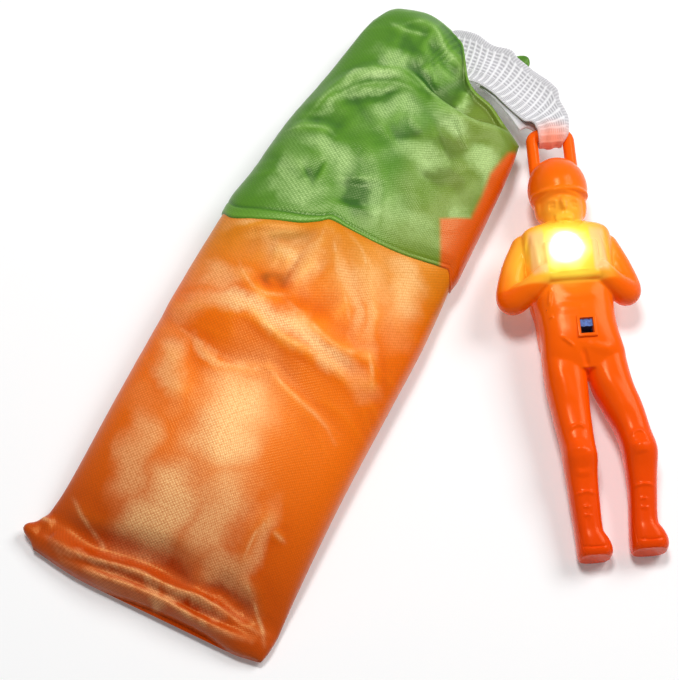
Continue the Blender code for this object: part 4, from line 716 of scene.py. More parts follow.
def fill_ramp(node, rows, reach=1.0):
    """Give a colour ramp the colours of a table of distances"""
    ramp = node.color_ramp
    ramp.elements[0].position = rows[0][0] / reach
    ramp.elements[0].color = linear(rows[0][1])
    ramp.elements[1].position = rows[-1][0] / reach
    ramp.elements[1].color = linear(rows[-1][1])
    for distance, colour in rows[1:-1]:
        ramp.elements.new(distance / reach).color = linear(colour)


def satin(name, face_colours, foot_colour, panel_and_reflection_colour, taut_colour, sheen_colour):
    """A satin cloth: painted shade in its hollows and painted light on its crests, then its foot, panel and painted
    sheen colours
    """
    material, output = new_material(name)
    shares = {
        share: add_node(material, "ShaderNodeAttribute", {"attribute_name": share}).outputs["Fac"]
        for share in ("crest", "foot", "side_panel", "taut")
    }
    cloth_map = add_node(material, "ShaderNodeUVMap", {"uv_map": "cloth"})
    weft = add_node(material, "ShaderNodeTexWave", {
        "bands_direction": "DIAGONAL", "Scale": WAVE_TURNS / THREAD_PITCH * math.sqrt(2), **THREAD_WOBBLE,
    }, {"Vector": cloth_map.outputs[0]})
    mirror = add_node(material, "ShaderNodeMapping", {"Rotation": (0.0, 0.0, THREADS_CROSS_AT)}, {
        "Vector": cloth_map.outputs[0],
    })
    warp = add_node(material, "ShaderNodeTexWave", {
        "bands_direction": "X", "Scale": WAVE_TURNS / THREAD_PITCH, **THREAD_WOBBLE,
    }, {"Vector": mirror.outputs[0]})
    threads = add_node(material, "ShaderNodeMath", {"operation": "MULTIPLY"}, {
        0: weft.outputs["Fac"], 1: warp.outputs["Fac"],
    })
    mottle = add_node(material, "ShaderNodeTexNoise", {"Scale": 1.0 / MOTTLE_PITCH, "Detail": 2.0}, {
        "Vector": cloth_map.outputs[0],
    })
    uneven = add_node(material, "ShaderNodeMath", {"operation": "MULTIPLY_ADD", 1: MOTTLE_SHARE}, {
        0: mottle.outputs["Fac"], 2: threads.outputs[0],
    })
    bump = add_node(material, "ShaderNodeBump", {"Strength": 0.35, "Distance": THREAD_HEIGHT}, {
        "Height": uneven.outputs[0],
    })
    # Glints of the weave in the painted sheen
    glints = add_node(material, "ShaderNodeMapRange", {
        "From Min": 0.50, "From Max": 1.35, "To Min": 0.60, "To Max": 1.30,
    }, {"Value": uneven.outputs[0]})
    painted_pale = add_node(material, "ShaderNodeMath", {"operation": "MULTIPLY"}, {
        0: shares["taut"], 1: glints.outputs["Result"],
    })
    face = add_node(material, "ShaderNodeValToRGB", {}, {"Fac": shares["crest"]})
    fill_ramp(face, tuple(zip(FACE_PLACES, face_colours)))
    toned = face.outputs[0]
    for share, colour in (
        (shares["foot"], foot_colour), (shares["side_panel"], panel_and_reflection_colour), (painted_pale.outputs[0], taut_colour),
    ):
        toned = add_node(material, "ShaderNodeMix", {"data_type": "RGBA", 7: linear(colour)}, {
            0: share, 6: toned,
        }).outputs[2]
    speck = add_node(material, "ShaderNodeMapRange", {
        "From Min": 0.45, "From Max": 1.50, "To Min": 0.90, "To Max": 1.12,
    }, {"Value": uneven.outputs[0]})
    woven = add_node(material, "ShaderNodeMix", {"data_type": "RGBA", "blend_type": "MULTIPLY", 0: 1.0}, {
        6: toned, 7: speck.outputs["Result"],
    })
    shader = add_node(material, "ShaderNodeBsdfPrincipled", {
        "Roughness": 0.36, "IOR": 1.50, "Specular IOR Level": 0.50, "Specular Tint": linear(sheen_colour),
        "Sheen Weight": 0.03, "Sheen Roughness": 0.4, "Sheen Tint": linear(sheen_colour),
    }, {"Base Color": woven.outputs[2], "Normal": bump.outputs[0]})
    join_output(material, shader, output)
    return material


# Painted shade to painted light from hollow to crest, painted shade at the foot, a painted reflection of the green
# sleeve near the hem, and a painted cream sheen
orange_satin = satin(
    "orange_satin_nylon", ("#9C3200", "#DC5600", "#F06C02", "#FA8810"), "#B84000",
    panel_and_reflection_colour="#C8861A", taut_colour="#FFD090", sheen_colour="#FFD480",
)
canopy.data.materials.append(orange_satin)
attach(canopy, "pack")
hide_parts("canopy_pack")

# Green sleeve
# The canopy's green panels are wrapped round the upper half of the bundle, with their hemmed edge
# across its front and their other end gathered round the tape.
SLEEVE_GAP = 0.00025
SLEEVE_OUTSIDE = 0.0009
SLEEVE_ROWS = 150
LINING_ROWS = 60
HEM_WIDTHS = ((-27.0, 3.2), (-10.0, 2.6), (2.0, 1.1), (27.0, 1.0))
HEM_STAND = 0.7
HEM_ROLL = 0.15
HEM_EDGE = 0.9
HEM_GROOVE = 0.14
HEM_GROOVE_WIDTH = 0.30
MOUTH_ROUNDING = 0.0050
LINING_BELOW = 0.3
LINING_LEVEL_SHARE = 0.93
LINING_LOWEST = 0.0003
# The front layer ends in a fold, and the cloth beyond it lies lower, down to the tape
FRONT_FOLD = (
    (-7.1, 61.0), (-3.1, 60.5), (1.1, 58.5), (4.8, 57.0), (9.3, 56.3), (13.4, 56.3), (17.0, 57.6),
    (20.8, 59.0),
)
FRONT_FOLD_DROP = 3.4
FRONT_FOLD_SLOPE = 2.6
# Millimetres, as for the orange creases
GREEN_CREASES = (
    (0.28, 2, 2.4, 0.3, ((-15.2, 72.1), (-12.8, 71.4), (-9.7, 71.6), (-6.3, 72.7))),
    (0.56, 2.7, 2.7, 0.36, (
        (-12.2, 72.7), (-10.9, 74.5), (-8.4, 75.5), (-5.0, 74.7), (-1.3, 71.7), (2.5, 70.0), (5.9, 69.7),
    )),
    (-0.72, 2.4, 2.7, 0.6, ((-5.4, 73.1), (-2.2, 70.7), (1.7, 68.8), (5.7, 68.6))),
    (-0.4, 6.8, 6.8, 3, ((-11.8, 67.9), (-8.2, 68.6), (-4.6, 69.3))),
    (0.32, 5.1, 4.2, 1.8, ((-11.8, 61.0), (-9.3, 62.8), (-6.5, 63.2))),
    (-0.88, 2.7, 3.4, 0.6, ((-7.6, 65.8), (-4.3, 63.8), (0.3, 59.4), (3.8, 57.3))),
    (0.4, 2.7, 2.7, 0.6, ((-4.4, 65.0), (-1.1, 63.3), (1.5, 61.2))),
    (0.32, 4.2, 4.2, 1.2, ((-2.5, 67.1), (0.3, 68.5), (3.7, 68.6))),
    (0.96, 2.7, 4.1, 0.42, FRONT_FOLD),
    (0.8, 2.4, 2.4, 0.36, ((8.4, 58.8), (8.3, 62.6), (8.1, 65.9))),
    (0.64, 3.1, 2.5, 0.36, (
        (-20.1, 39.8), (-19.5, 43.5), (-18.4, 47.9), (-16.5, 52.3), (-13.4, 56.4), (-9.5, 58.8), (-5.1, 59.4),
        (-1.2, 58.6),
    )),
    (-0.4, 2.5, 2.5, 0.6, ((-17.3, 46.8), (-15.2, 51.3), (-12.4, 55.3), (-8.6, 57.5), (-4.8, 57.8))),
    (0.48, 2.4, 2.4, 0.36, (
        (-17.9, 43.2), (-16.3, 47.6), (-14.3, 51.8), (-10.7, 55.0), (-6.5, 56.9), (-2.9, 57.1), (-0.8, 56.3),
    )),
    (-0.72, 5.4, 6, 2.4, ((-14.0, 45.2), (-11.3, 49.4), (-7.2, 52.9), (-2.2, 54.7))),
    (0.48, 2.5, 2.5, 0.36, ((-22.6, 36.1), (-20.0, 37.7), (-17.0, 39.0), (-14.0, 39.5), (-11.9, 38.7))),
    (-0.48, 4.4, 4.4, 1.44, ((-20.5, 39.7), (-17.2, 41.9), (-12.7, 42.6), (-9.5, 42.1))),
    (0.4, 6.8, 6.8, 3, ((-7.9, 45.6), (-4.5, 49.6), (0.3, 51.6))),
    (-0.48, 4.1, 4.1, 1.44, ((-0.8, 43.3), (1.4, 46.6), (3.2, 49.8))),
    (-0.64, 6.1, 6.1, 2.64, ((8.9, 47.2), (11.1, 49.5), (13.4, 51.8))),
    (-0.56, 4.1, 4.1, 1.44, ((6.0, 40.3), (10.1, 41.9), (15.0, 41.7), (19.7, 40.9))),
    (0.4, 7.6, 7.6, 3.6, ((-17.0, 26.7), (-15.0, 32.1), (-10.1, 35.7))),
    (-0.4, 3.7, 3.7, 1.68, ((-13.3, 27.0), (-11.7, 28.6), (-9.9, 28.8))),
    (-0.72, 5.1, 5.1, 1.92, ((-2.8, 31.9), (-1.2, 28.4), (0.0, 24.8))),
    (0.48, 4.1, 3.4, 0.84, ((-7.8, 38.0), (-4.6, 39.3), (-0.7, 37.3), (3.2, 33.4), (6.6, 28.7), (9.9, 25.1))),
    (0.4, 4.1, 4.1, 1.2, ((2.8, 43.0), (7.1, 38.2), (12.6, 33.0), (18.5, 27.0))),
    (0.36, 6.8, 6.8, 3, ((15.7, 54.1), (19.0, 51.4), (20.4, 43.5))),
)
# Along the pack, then where the orange side panel starts across it, in millimetres
SIDE_PANEL_EDGE = (
    (20.0, 22.5), (23.4, 21.4), (31.5, 17.2), (33.5, 19.6), (35.7, 22.6), (41.3, 22.4), (47.2, 21.6),
    (54.1, 22.8), (58.0, 25.5),
)
SIDE_PANEL_SOFTNESS = 0.7
SIDE_PANEL_TOP = 58.0
# As for the orange cloth
GREEN_SHEEN = (
    (0.5, 2.5, ((-14.0, 63.4), (-10.1, 61.9), (-5.5, 63.1))),
    (0.5, 1.6, ((-18.5, 48.0), (-16.4, 52.1), (-12.5, 56.5), (-7.6, 59.0), (-3.4, 58.9))),
    (0.4, 1.2, ((-19.3, 41.7), (-16.5, 46.2), (-12.8, 51.0), (-7.8, 55.4), (-2.2, 56.5))),
    (0.55, 3, ((-19.4, 35.9), (-13.9, 35.3), (-8.5, 34.7), (-5.5, 31.1), (-5.5, 27.1))),
    (0.45, 3, ((-17.7, 32.8), (-16.7, 27.0), (-12.7, 23.4), (-6.7, 25.4))),
    (0.5, 3.5, ((-7.8, 45.4), (-4.7, 49.4), (-1.1, 52.4), (2.7, 52.0))),
    (0.6, 2.5, ((6.3, 53.9), (9.7, 53.4), (12.2, 52.4))),
    (0.5, 4, ((0.8, 39.5), (4.8, 42.7), (8.9, 42.6), (8.0, 36.4))),
    (0.35, 4, ((4.5, 32.3), (9.2, 28.0), (14.9, 26.6), (18.6, 25.2))),
    (0.55, 2.5, ((-2.7, 35.4), (2.1, 31.1), (4.0, 25.3), (3.1, 22.1))),
    (0.5, 3, ((14.0, 48.7), (20.6, 48.7), (21.6, 43.5))),
    (0.4, 2.5, ((18.2, 36.1), (21.1, 34.2), (21.2, 32.1))),
    (0.45, 2, ((8.4, 63.2), (8.8, 59.3), (9.1, 56.5))),
    (0.35, 2.5, ((-20.2, 20.1), (-17.3, 23.3), (-13.1, 22.1))),
    (-0.8, 3, ((-4.7, 63.5), (1.0, 60.5), (6.5, 59.8))),
    (-0.4, 2, ((-14.0, 47.4), (-9.9, 51.4), (-4.6, 55.3))),
    (-0.95, 3.0, ((-4.2, 33.5), (-0.8, 27.9), (2.2, 22.5))),
    (-0.7, 2.6, ((7.9, 46.7), (11.8, 48.1), (14.9, 50.9))),
    (-0.8, 2.2, ((7.4, 39.5), (11.9, 40.7), (17.0, 40.5), (20.3, 38.9))),
    (-0.5, 2, ((-13.6, 26.9), (-10.7, 27.3))),
    (-0.5, 2, ((-1.1, 44.3), (1.4, 47.3), (3.6, 50.2))),
    (-0.5, 2.2, ((-11.9, 67.5), (-7.6, 67.4), (-2.0, 68.5))),
)


def hem_profile(distance, width):
    """How far the rolled hem stands out, in millimetres, at distances from its edge"""
    roll = HEM_ROLL * (1.0 - smooth_step((distance - width + 0.6) / 0.6))
    edge = quarter_round(distance / HEM_EDGE)
    groove = HEM_GROOVE * np.exp(-(((distance - width) / HEM_GROOVE_WIDTH) ** 2))
    return (HEM_STAND + roll) * edge - HEM_STAND - groove


def sleeve_start(across):
    """The sleeve's hem"""
    return pack_y(table_at(HEM_SHARES, across))


def sleeve_end(across):
    """The sleeve's mouth"""
    return pack_y(table_at(MOUTH_SHARES, across))


def beyond_fold(x, y):
    """How far the cloth beyond the front fold lies lower, in millimetres"""
    side, share = polyline_distance(smooth_line(FRONT_FOLD), x, y)
    return FRONT_FOLD_DROP * smooth_step(side / FRONT_FOLD_SLOPE) * smooth_step(share / 0.35)


outer_shares = np.linspace(0.0, 1.0, SLEEVE_ROWS)
hem_spread = 0.4 + 0.6 * smooth_step(outer_shares[:, None] / 0.10)
green_points, green_rise, green_seam = bundle_surface(
    sleeve_start, sleeve_end, outer_shares, SLEEVE_OUTSIDE * hem_spread,
)
green_x = green_points[..., 0] / MM
green_y = green_points[..., 1] / MM
from_hem = green_y - green_y[:1]
from_mouth = green_y[-1:] - green_y
green_heights = (
    smooth_step((from_hem - 2.4) / 3.0) * smooth_step(from_mouth / 2.0) * (
        crease_heights(GREEN_CREASES, green_x, green_y)
        + slack_heights(green_x, green_y, math.radians(38.0), 21) * SLACK_SIZE
    )
    - beyond_fold(green_x, green_y) * smooth_step(from_mouth / 1.5)
    + hem_profile(from_hem, table_at(HEM_WIDTHS, green_x))
)
green_points = dress_with_folds(green_points, green_rise, green_heights)
# The gathered end rounds down to a closed edge at the tape
closing = quarter_round(from_mouth * MM / MOUTH_ROUNDING)
green_points[..., 2] = green_seam + (green_points[..., 2] - green_seam) * closing
inner_shares = np.linspace(1.0, 0.0, LINING_ROWS)
lining_points, lining_rise, lining_seam = bundle_surface(sleeve_start, sleeve_end, inner_shares, SLEEVE_GAP)
# Its grid runs the other way, so its heights go inwards
lining_drop = beyond_fold(lining_points[..., 0] / MM, lining_points[..., 1] / MM) + LINING_BELOW
lining_points = dress_with_folds(lining_points, lining_rise, lining_drop)
lining_closing = quarter_round((lining_points[:1, :, 1] - lining_points[..., 1]) / MOUTH_ROUNDING)
lining_height = (lining_points[..., 2] - lining_seam) * lining_closing * LINING_LEVEL_SHARE
lining_points[..., 2] = np.maximum(lining_seam + lining_height, LINING_LOWEST)
sleeve_points = np.concatenate([green_points, lining_points])
sleeve = cloth_object("wrapped_sleeve", sleeve_points, closed_long_way=True)

# Painted shade in the hollows and patches, painted light on the crests and painted sheen, as on the orange cloth
green_painted_pale, green_painted_deep = painted_sheen_and_shade(GREEN_SHEEN, green_x, green_y)
green_crest = np.clip(hollow_share(green_heights) - PAINTED_DEEP_SHARE * green_painted_deep, 0.0, 1.0)
green_taut = np.maximum(taut_lines(GREEN_CREASES, green_x, green_y), green_painted_pale)
green_taut = green_taut * smooth_step((from_hem - 1.2) / 1.5)
lining_plain = np.zeros(lining_points.shape[:2])
all_x = sleeve_points[..., 0] / MM
all_y = sleeve_points[..., 1] / MM
olive_border = 4.0 * cloth_noise(all_x / 9.0, all_y / 9.0, 71)
panel_edge = np.interp(all_y, *zip(*SIDE_PANEL_EDGE))
on_panel = smooth_step(0.5 + (all_x - panel_edge) / SIDE_PANEL_SOFTNESS / 2) * (all_y < SIDE_PANEL_TOP)
set_shades(
    sleeve,
    crest=np.concatenate([green_crest, lining_plain + 0.4]),
    taut=np.concatenate([green_taut, lining_plain]) * (1.0 - on_panel),
    side_panel=on_panel,
    foot=0.6 * smooth_step((all_x - 1.0 + olive_border) / 14.0),
)

# The same satin-faced nylon, dyed green, with an orange panel seamed to it down its right side.
# Painted shade to painted light from hollow to crest, an olive tone towards the right, the orange panel, and a
# painted pale green sheen
green_satin = satin(
    "green_satin_nylon", ("#1C5200", "#326804", "#447A0C", "#5E9226"), "#707C18",
    panel_and_reflection_colour="#D85400", taut_colour="#BCDC90", sheen_colour="#F0FFC0",
)
sleeve.data.materials.append(green_satin)
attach(sleeve, "pack")
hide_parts("canopy_sleeve")

# Knitted tape
# A white ladder-knit nylon tape, pressed flat, comes out of the gathered end, goes over the bar of the
# figure's loop where it bunches up, and comes back under itself to its cut end.
TAPE_WIDTH = 11.3
TAPE_THICKNESS = 0.55
TAPE_STEP = 0.12
TAPE_COLUMNS = 76
TAPE_START = (-3.64, 70.05, 5.2)
TAPE_START_TURN = math.radians(-2.0)
TAPE_FOLD = (15.65, 69.38, 5.2)
TAPE_FOLD_TURN = math.radians(-21.5)
TAPE_LOOP = (28.28, 63.83, 7.0)
FIGURE_TURN = math.radians(31.58)
TAPE_BEND_REACH = 0.36
LOOP_BAR_RADIUS = 1.33
BAR_GAP = 0.1
LAYER_GAP = 0.15
RUNG_PITCH = 1.45
RUNG_HALF = 0.24
RUNG_HEIGHT = 0.16
RUNG_BOW = 0.9
STITCH_PITCH = 0.62
STITCH_FROM_RUNG = 0.34
STITCH_HEIGHT = 0.10
SELVEDGE = 0.80
SELVEDGE_PITCH = 0.5
SELVEDGE_HEIGHT = 0.06
BUNCH_RIPPLE = 0.11
WRAP_SLACK = 0.9
BUNCH_PITCH = 2.6
TAPE_UNDER_FROM = -6.5
TAPE_EDGE_CURL = 1.5
TAPE_SAG = 0.22
TAPE_LOWEST = 0.0002
# Along the tape from its fold, then how far it reaches towards the pack's side and away from it
TAPE_TOP_WIDTHS = (
    (-19.5, 3.2, 6.6), (-17.0, 3.2, 8.1), (-12.0, 3.1, 8.4), (-8.0, 2.9, 7.2), (-4.7, 3.0, 7.8),
    (-3.0, 3.1, 7.1), (2.0, 3.2, 7.3), (7.7, 3.6, 7.2), (9.6, 2.6, 5.6), (12.3, 2.8, 4.9), (14.2, 2.7, 4.2),
)
TAPE_UNDER_WIDTHS = (
    (-7.0, 2.9, 4.2), (-2.5, 3.5, 4.4), (2.0, 3.9, 4.6), (8.3, 5.4, 4.0), (9.0, 3.9, 3.6),
    (11.5, 2.7, 3.0), (14.2, 2.5, 2.5),
)
# The same places, then how high the middle of the tape lies
TAPE_LEVELS = ((-19.5, 5.4), (-12.0, 6.2), (-7.0, 7.2), (5.0, 7.3), (10.0, 7.1), (14.2, 7.0))
# Painted orange glow of the lit plastic on the tape: place, strength, then the reach of the full glow and of its fade
TAPE_PAINTED_GLOW = (((30.0, 61.5, 9.0), 0.9, 1.0, 6.0), ((24.2, 62.4, 6.5), 0.45, 0.0, 3.4))


def bent_route(start, start_turn, end, end_turn, count=80):
    """Points on a smooth bend that leaves and arrives at given turns"""
    start = np.array(start)
    end = np.array(end)
    reach = np.linalg.norm(end - start) * TAPE_BEND_REACH
    leave = start + reach * np.array([math.cos(start_turn), math.sin(start_turn), 0.0])
    arrive = end - reach * np.array([math.cos(end_turn), math.sin(end_turn), 0.0])
    t = np.linspace(0.0, 1.0, count)[:, None]
    return start * (1 - t)**3 + 3 * leave * (1 - t)**2 * t + 3 * arrive * (1 - t) * t**2 + end * t**3


def step_lengths(route):
    """The distances from each point of a route to the next"""
    return np.linalg.norm(np.diff(route, axis=0), axis=1)


def even_steps(route, step):
    """The same route in equal steps, with the length passed at each"""
    passed = passed_lengths(step_lengths(route))
    places = np.linspace(0.0, passed[-1], max(int(passed[-1] / step), 2))
    return np.stack([np.interp(places, passed, route[:, axis]) for axis in range(3)], axis=-1), places


figure_up = np.array([-math.sin(FIGURE_TURN), math.cos(FIGURE_TURN), 0.0])
tail_route = bent_route(TAPE_START, TAPE_START_TURN, TAPE_FOLD, TAPE_FOLD_TURN)
span_route = bent_route(TAPE_FOLD, TAPE_FOLD_TURN, TAPE_LOOP, FIGURE_TURN - math.pi / 2)
span_share = np.linspace(0.0, 1.0, len(span_route))
span_route[:, 2] = TAPE_FOLD[2] + (TAPE_LOOP[2] - TAPE_FOLD[2]) * smooth_step(span_share)
top_route, top_passed = even_steps(np.concatenate([tail_route, span_route[1:]]), TAPE_STEP)
tail_length = step_lengths(tail_route).sum()
top_share = np.clip((top_passed - tail_length) / (top_passed[-1] - tail_length), 0.0, 1.0)
from_fold = top_passed - tail_length
top_route[:, 2] = table_at(TAPE_LEVELS, from_fold)
under_from = int(np.searchsorted(from_fold, TAPE_UNDER_FROM))
wrap_turns = np.linspace(math.pi / 2, -math.pi / 2, 46)[1:-1]


def tape_frame(route):
    """Level directions across a route, towards the pack's side"""
    run = np.gradient(route, axis=0)
    run[:, 2] = 0.0
    run /= np.linalg.norm(run, axis=1, keepdims=True)
    return np.stack([run[:, 1], -run[:, 0], np.zeros(len(run))], axis=-1)


opened = smooth_step((top_share - 0.45) / 0.55)
layer_room = TAPE_THICKNESS / 2 + LAYER_GAP + (LOOP_BAR_RADIUS + BAR_GAP) * opened
bunch = smooth_step((top_share - 0.55) / 0.40)
up = np.array([0.0, 0.0, 1.0])
sides = tape_frame(top_route)
from_middle = up * (layer_room + BUNCH_RIPPLE * bunch)[:, None]
wrap_out = up * np.sin(wrap_turns)[:, None] - figure_up * np.cos(wrap_turns)[:, None]
wrap_reach = LOOP_BAR_RADIUS + BAR_GAP + LAYER_GAP + TAPE_THICKNESS / 2 + BUNCH_RIPPLE
wrap_share = np.linspace(0.0, 1.0, len(wrap_turns))
over_left, over_right = TAPE_TOP_WIDTHS[-1][1:]
under_left, under_right = TAPE_UNDER_WIDTHS[-1][1:]
# The run to the bar, the bend round it and the run back: the middle line, the ways across and out, how
# far the tape reaches to the left and right, and how much it bunches up
run_over = (
    top_route + from_middle, sides, np.broadcast_to(up, top_route.shape),
    table_at(TAPE_TOP_WIDTHS, from_fold, 1), table_at(TAPE_TOP_WIDTHS, from_fold, 2), bunch,
)
bend = (
    np.array(TAPE_LOOP) + wrap_out * wrap_reach - figure_up * (WRAP_SLACK * np.cos(wrap_turns))[:, None],
    np.broadcast_to(sides[-1], wrap_out.shape), wrap_out,
    over_left + (under_left - over_left) * smooth_step(wrap_share * 1.6),
    over_right + (under_right - over_right) * smooth_step(wrap_share * 2.2), np.ones(len(wrap_turns)),
)
run_back = (
    top_route - from_middle, sides, np.broadcast_to(-up, top_route.shape),
    table_at(TAPE_UNDER_WIDTHS, from_fold, 1), table_at(TAPE_UNDER_WIDTHS, from_fold, 2), bunch,
)
tape_centre, tape_side, tape_out, *spans = (
    np.concatenate([over, round_bar, back[:under_from:-1]]) for over, round_bar, back in zip(run_over, bend, run_back)
)
tape_left, tape_right, tape_bunch = (span[:, None] for span in spans)
tape_passed = passed_lengths(step_lengths(tape_centre))[:, None]

edge_share = np.linspace(-1.0, 1.0, TAPE_COLUMNS)[None, :]
tape_u = np.where(edge_share > 0.0, edge_share * tape_left, edge_share * tape_right)
cloth_u = edge_share * TAPE_WIDTH / 2
inside = smooth_step((TAPE_WIDTH / 2 - np.abs(cloth_u) - SELVEDGE) / 0.5)
rung_phase = (tape_passed + RUNG_BOW * edge_share**2 * (1.0 - tape_bunch)) / RUNG_PITCH
to_rung = np.abs(rung_phase - np.round(rung_phase)) * RUNG_PITCH
rungs = np.exp(-((to_rung / RUNG_HALF) ** 2)) * inside
stitches = (0.5 + 0.5 * np.cos(math.tau * cloth_u / STITCH_PITCH)) * inside
stitches = stitches * (1.0 - np.exp(-((to_rung / STITCH_FROM_RUNG) ** 2)))
selvedge_rib = (1.0 - inside) * (0.8 + 0.4 * np.cos(math.tau * tape_passed / SELVEDGE_PITCH + cloth_u * 3.0)) * 0.5
ripple = BUNCH_RIPPLE * tape_bunch * np.cos(math.tau * tape_u / BUNCH_PITCH + 0.8 * np.sin(tape_passed / 2.3))
sag = TAPE_SAG * cloth_noise(tape_passed / 5.0 + edge_share * 0.0, edge_share * 1.3 + tape_passed * 0.0, 44)
on_top = (np.arange(len(tape_centre)) < len(top_route))[:, None]
sag += on_top * TAPE_EDGE_CURL * (1.0 - tape_bunch) * np.clip((-tape_u - 2.5) / 6.0, 0.0, 1.0) ** 2
height = ripple + sag + RUNG_HEIGHT * rungs + STITCH_HEIGHT * stitches + SELVEDGE_HEIGHT * selvedge_rib
thin_edge = np.sqrt(np.clip(1.0 - np.abs(edge_share) ** 12, 0.0, 1.0))
middle_line = tape_centre[:, None, :] + tape_side[:, None, :] * tape_u[..., None]
face = middle_line + tape_out[:, None, :] * (height + TAPE_THICKNESS / 2 * thin_edge)[..., None]
lining = middle_line + tape_out[:, None, :] * (ripple + sag - TAPE_THICKNESS / 2 * thin_edge)[..., None]
tape_points = np.concatenate([face, lining[:, ::-1]], axis=1) * MM
tape_points[..., 2] = np.maximum(tape_points[..., 2], TAPE_LOWEST)
tape = cloth_object("knitted_tape", tape_points)
# How raised the yarn is, for painted shade: grey in the low ground between the rungs, white on the raised yarn
face_raised = np.clip(rungs + stitches * 0.75 + selvedge_rib, 0.0, 1.0)
tint = np.zeros(face.shape[:2])
for place, strength, clear, fade in TAPE_PAINTED_GLOW:
    distance = np.linalg.norm(face - np.array(place), axis=-1)
    tint = np.maximum(tint, strength * (1.0 - smooth_step((distance - clear) / fade)))
set_shades(
    tape,
    raised=np.concatenate([face_raised, np.full(face.shape[:2], 0.5)], axis=1),
    tint=np.concatenate([tint, tint[:, ::-1]], axis=1),
)

# Ladder-knit nylon: round bright rungs of yarn, matt, with painted shade in the grey low ground between them and a
# painted orange glow from the lit shell near the loop. Its fibres are drawn at 0.35 mm, coarser than real, to show.
FIBRE_PITCH = 0.00035
FIBRE_RELIEF = 0.00008
knit, knit_output = new_material("ladder_knit_nylon")
knit_raised = add_node(knit, "ShaderNodeAttribute", {"attribute_name": "raised"})
knit_painted_glow = add_node(knit, "ShaderNodeAttribute", {"attribute_name": "tint"})
knit_map = add_node(knit, "ShaderNodeUVMap", {"uv_map": "cloth"})
knit_fibre = add_node(knit, "ShaderNodeTexNoise", {"Scale": 1.0 / FIBRE_PITCH, "Detail": 3.0}, {
    "Vector": knit_map.outputs[0],
})
knit_level = add_node(knit, "ShaderNodeMath", {"operation": "MULTIPLY_ADD", 1: 0.35}, {
    0: knit_fibre.outputs["Fac"], 2: knit_raised.outputs["Fac"],
})
# Painted shade: grey in the low ground, white on the raised yarn
knit_colour = add_node(knit, "ShaderNodeValToRGB", {}, {"Fac": knit_level.outputs[0]})
fill_ramp(knit_colour, ((0.15, "#A4A2A8"), (0.50, "#C6C4C8"), (0.95, "#F2F1F3")))
# Painted orange glow from the lit shell
knit_toned = add_node(knit, "ShaderNodeMix", {"data_type": "RGBA", 7: linear("#FF8E66")}, {
    0: knit_painted_glow.outputs["Fac"], 6: knit_colour.outputs[0],
})
knit_bump = add_node(knit, "ShaderNodeBump", {"Strength": 0.5, "Distance": FIBRE_RELIEF}, {
    "Height": knit_fibre.outputs["Fac"],
})
knit_shader = add_node(knit, "ShaderNodeBsdfPrincipled", {
    "Roughness": 0.62, "IOR": 1.53, "Sheen Weight": 0.15, "Sheen Roughness": 0.5,
}, {"Base Color": knit_toned.outputs[2], "Normal": knit_bump.outputs[0]})
join_output(knit, knit_shader, knit_output)
tape.data.materials.append(knit)
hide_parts("tape_tail", "tape_strap")
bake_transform(tape)

# Green tab
# A small hemmed corner of the green cloth is caught with the tape and shows past its outer edge.
TAB_ROWS = 50
TAB_COLUMNS = 26
TAB_LENGTH = 10.0
TAB_HALF_WIDTH = 2.3
TAB_TIP_HALF_WIDTH = 0.05
TAB_THICKNESS = 0.45
TAB_HEM_HEIGHT = 0.14
TAB_BEYOND = 4.9
TAB_SHIFT = -4.6
TAB_LEVEL = 4.1

tab_way = np.array([-math.sin(TAPE_FOLD_TURN), math.cos(TAPE_FOLD_TURN), 0.0])
tab_along = np.array([math.cos(TAPE_FOLD_TURN), math.sin(TAPE_FOLD_TURN), 0.0])
tab_share = np.linspace(0.0, 1.0, TAB_ROWS)[:, None]
tab_across = np.linspace(-1.0, 1.0, TAB_COLUMNS)[None, :]
tab_start = np.array([TAPE_FOLD[0], TAPE_FOLD[1], 0.0])
tab_start = tab_start + tab_way * (TAPE_WIDTH / 2 + TAB_BEYOND - TAB_LENGTH) + tab_along * TAB_SHIFT
tab_rounding = np.sqrt(np.clip(1.0 - (np.maximum(tab_share - 0.55, 0.0) / 0.45) ** 2.4, 0.0, 1.0))
tab_half = TAB_HALF_WIDTH * tab_rounding + TAB_TIP_HALF_WIDTH
tab_bow = 0.5 * np.sin(math.pi * tab_share) + 0.35 * (1.0 - tab_across**2) - 0.25 * tab_share
tab_hem = TAB_HEM_HEIGHT * np.exp(-(((np.abs(tab_across) - 0.80) / 0.12) ** 2))


def tab_sheet(offset):
    """One face of the tab as a grid of points in millimetres, at an offset from its middle"""
    thin_edge = np.sqrt(np.clip(1.0 - np.abs(tab_across) ** 8, 0, 1))
    level = TAB_LEVEL + tab_bow + tab_hem * (offset > 0.0) + offset * thin_edge
    flat = tab_way * (tab_share * TAB_LENGTH)[..., None] + tab_along * (tab_half * tab_across)[..., None]
    return tab_start + (flat + up * level[..., None])


tab_points = np.concatenate([tab_sheet(TAB_THICKNESS / 2)[:, ::-1], tab_sheet(-TAB_THICKNESS / 2)], axis=1) * MM
tab = cloth_object("caught_tab", tab_points)
# Painted light on the hem's ridges, by a higher crest share
tab_crest = np.concatenate([np.broadcast_to(0.35 + 2.5 * tab_hem, (TAB_ROWS, TAB_COLUMNS))] * 2, axis=1)
tab_plain = np.zeros(tab_crest.shape)
set_shades(tab, crest=tab_crest, taut=tab_plain, foot=tab_plain, side_panel=tab_plain)
tab.data.materials.append(green_satin)
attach(tab, "pack")
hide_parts("canopy_tab")

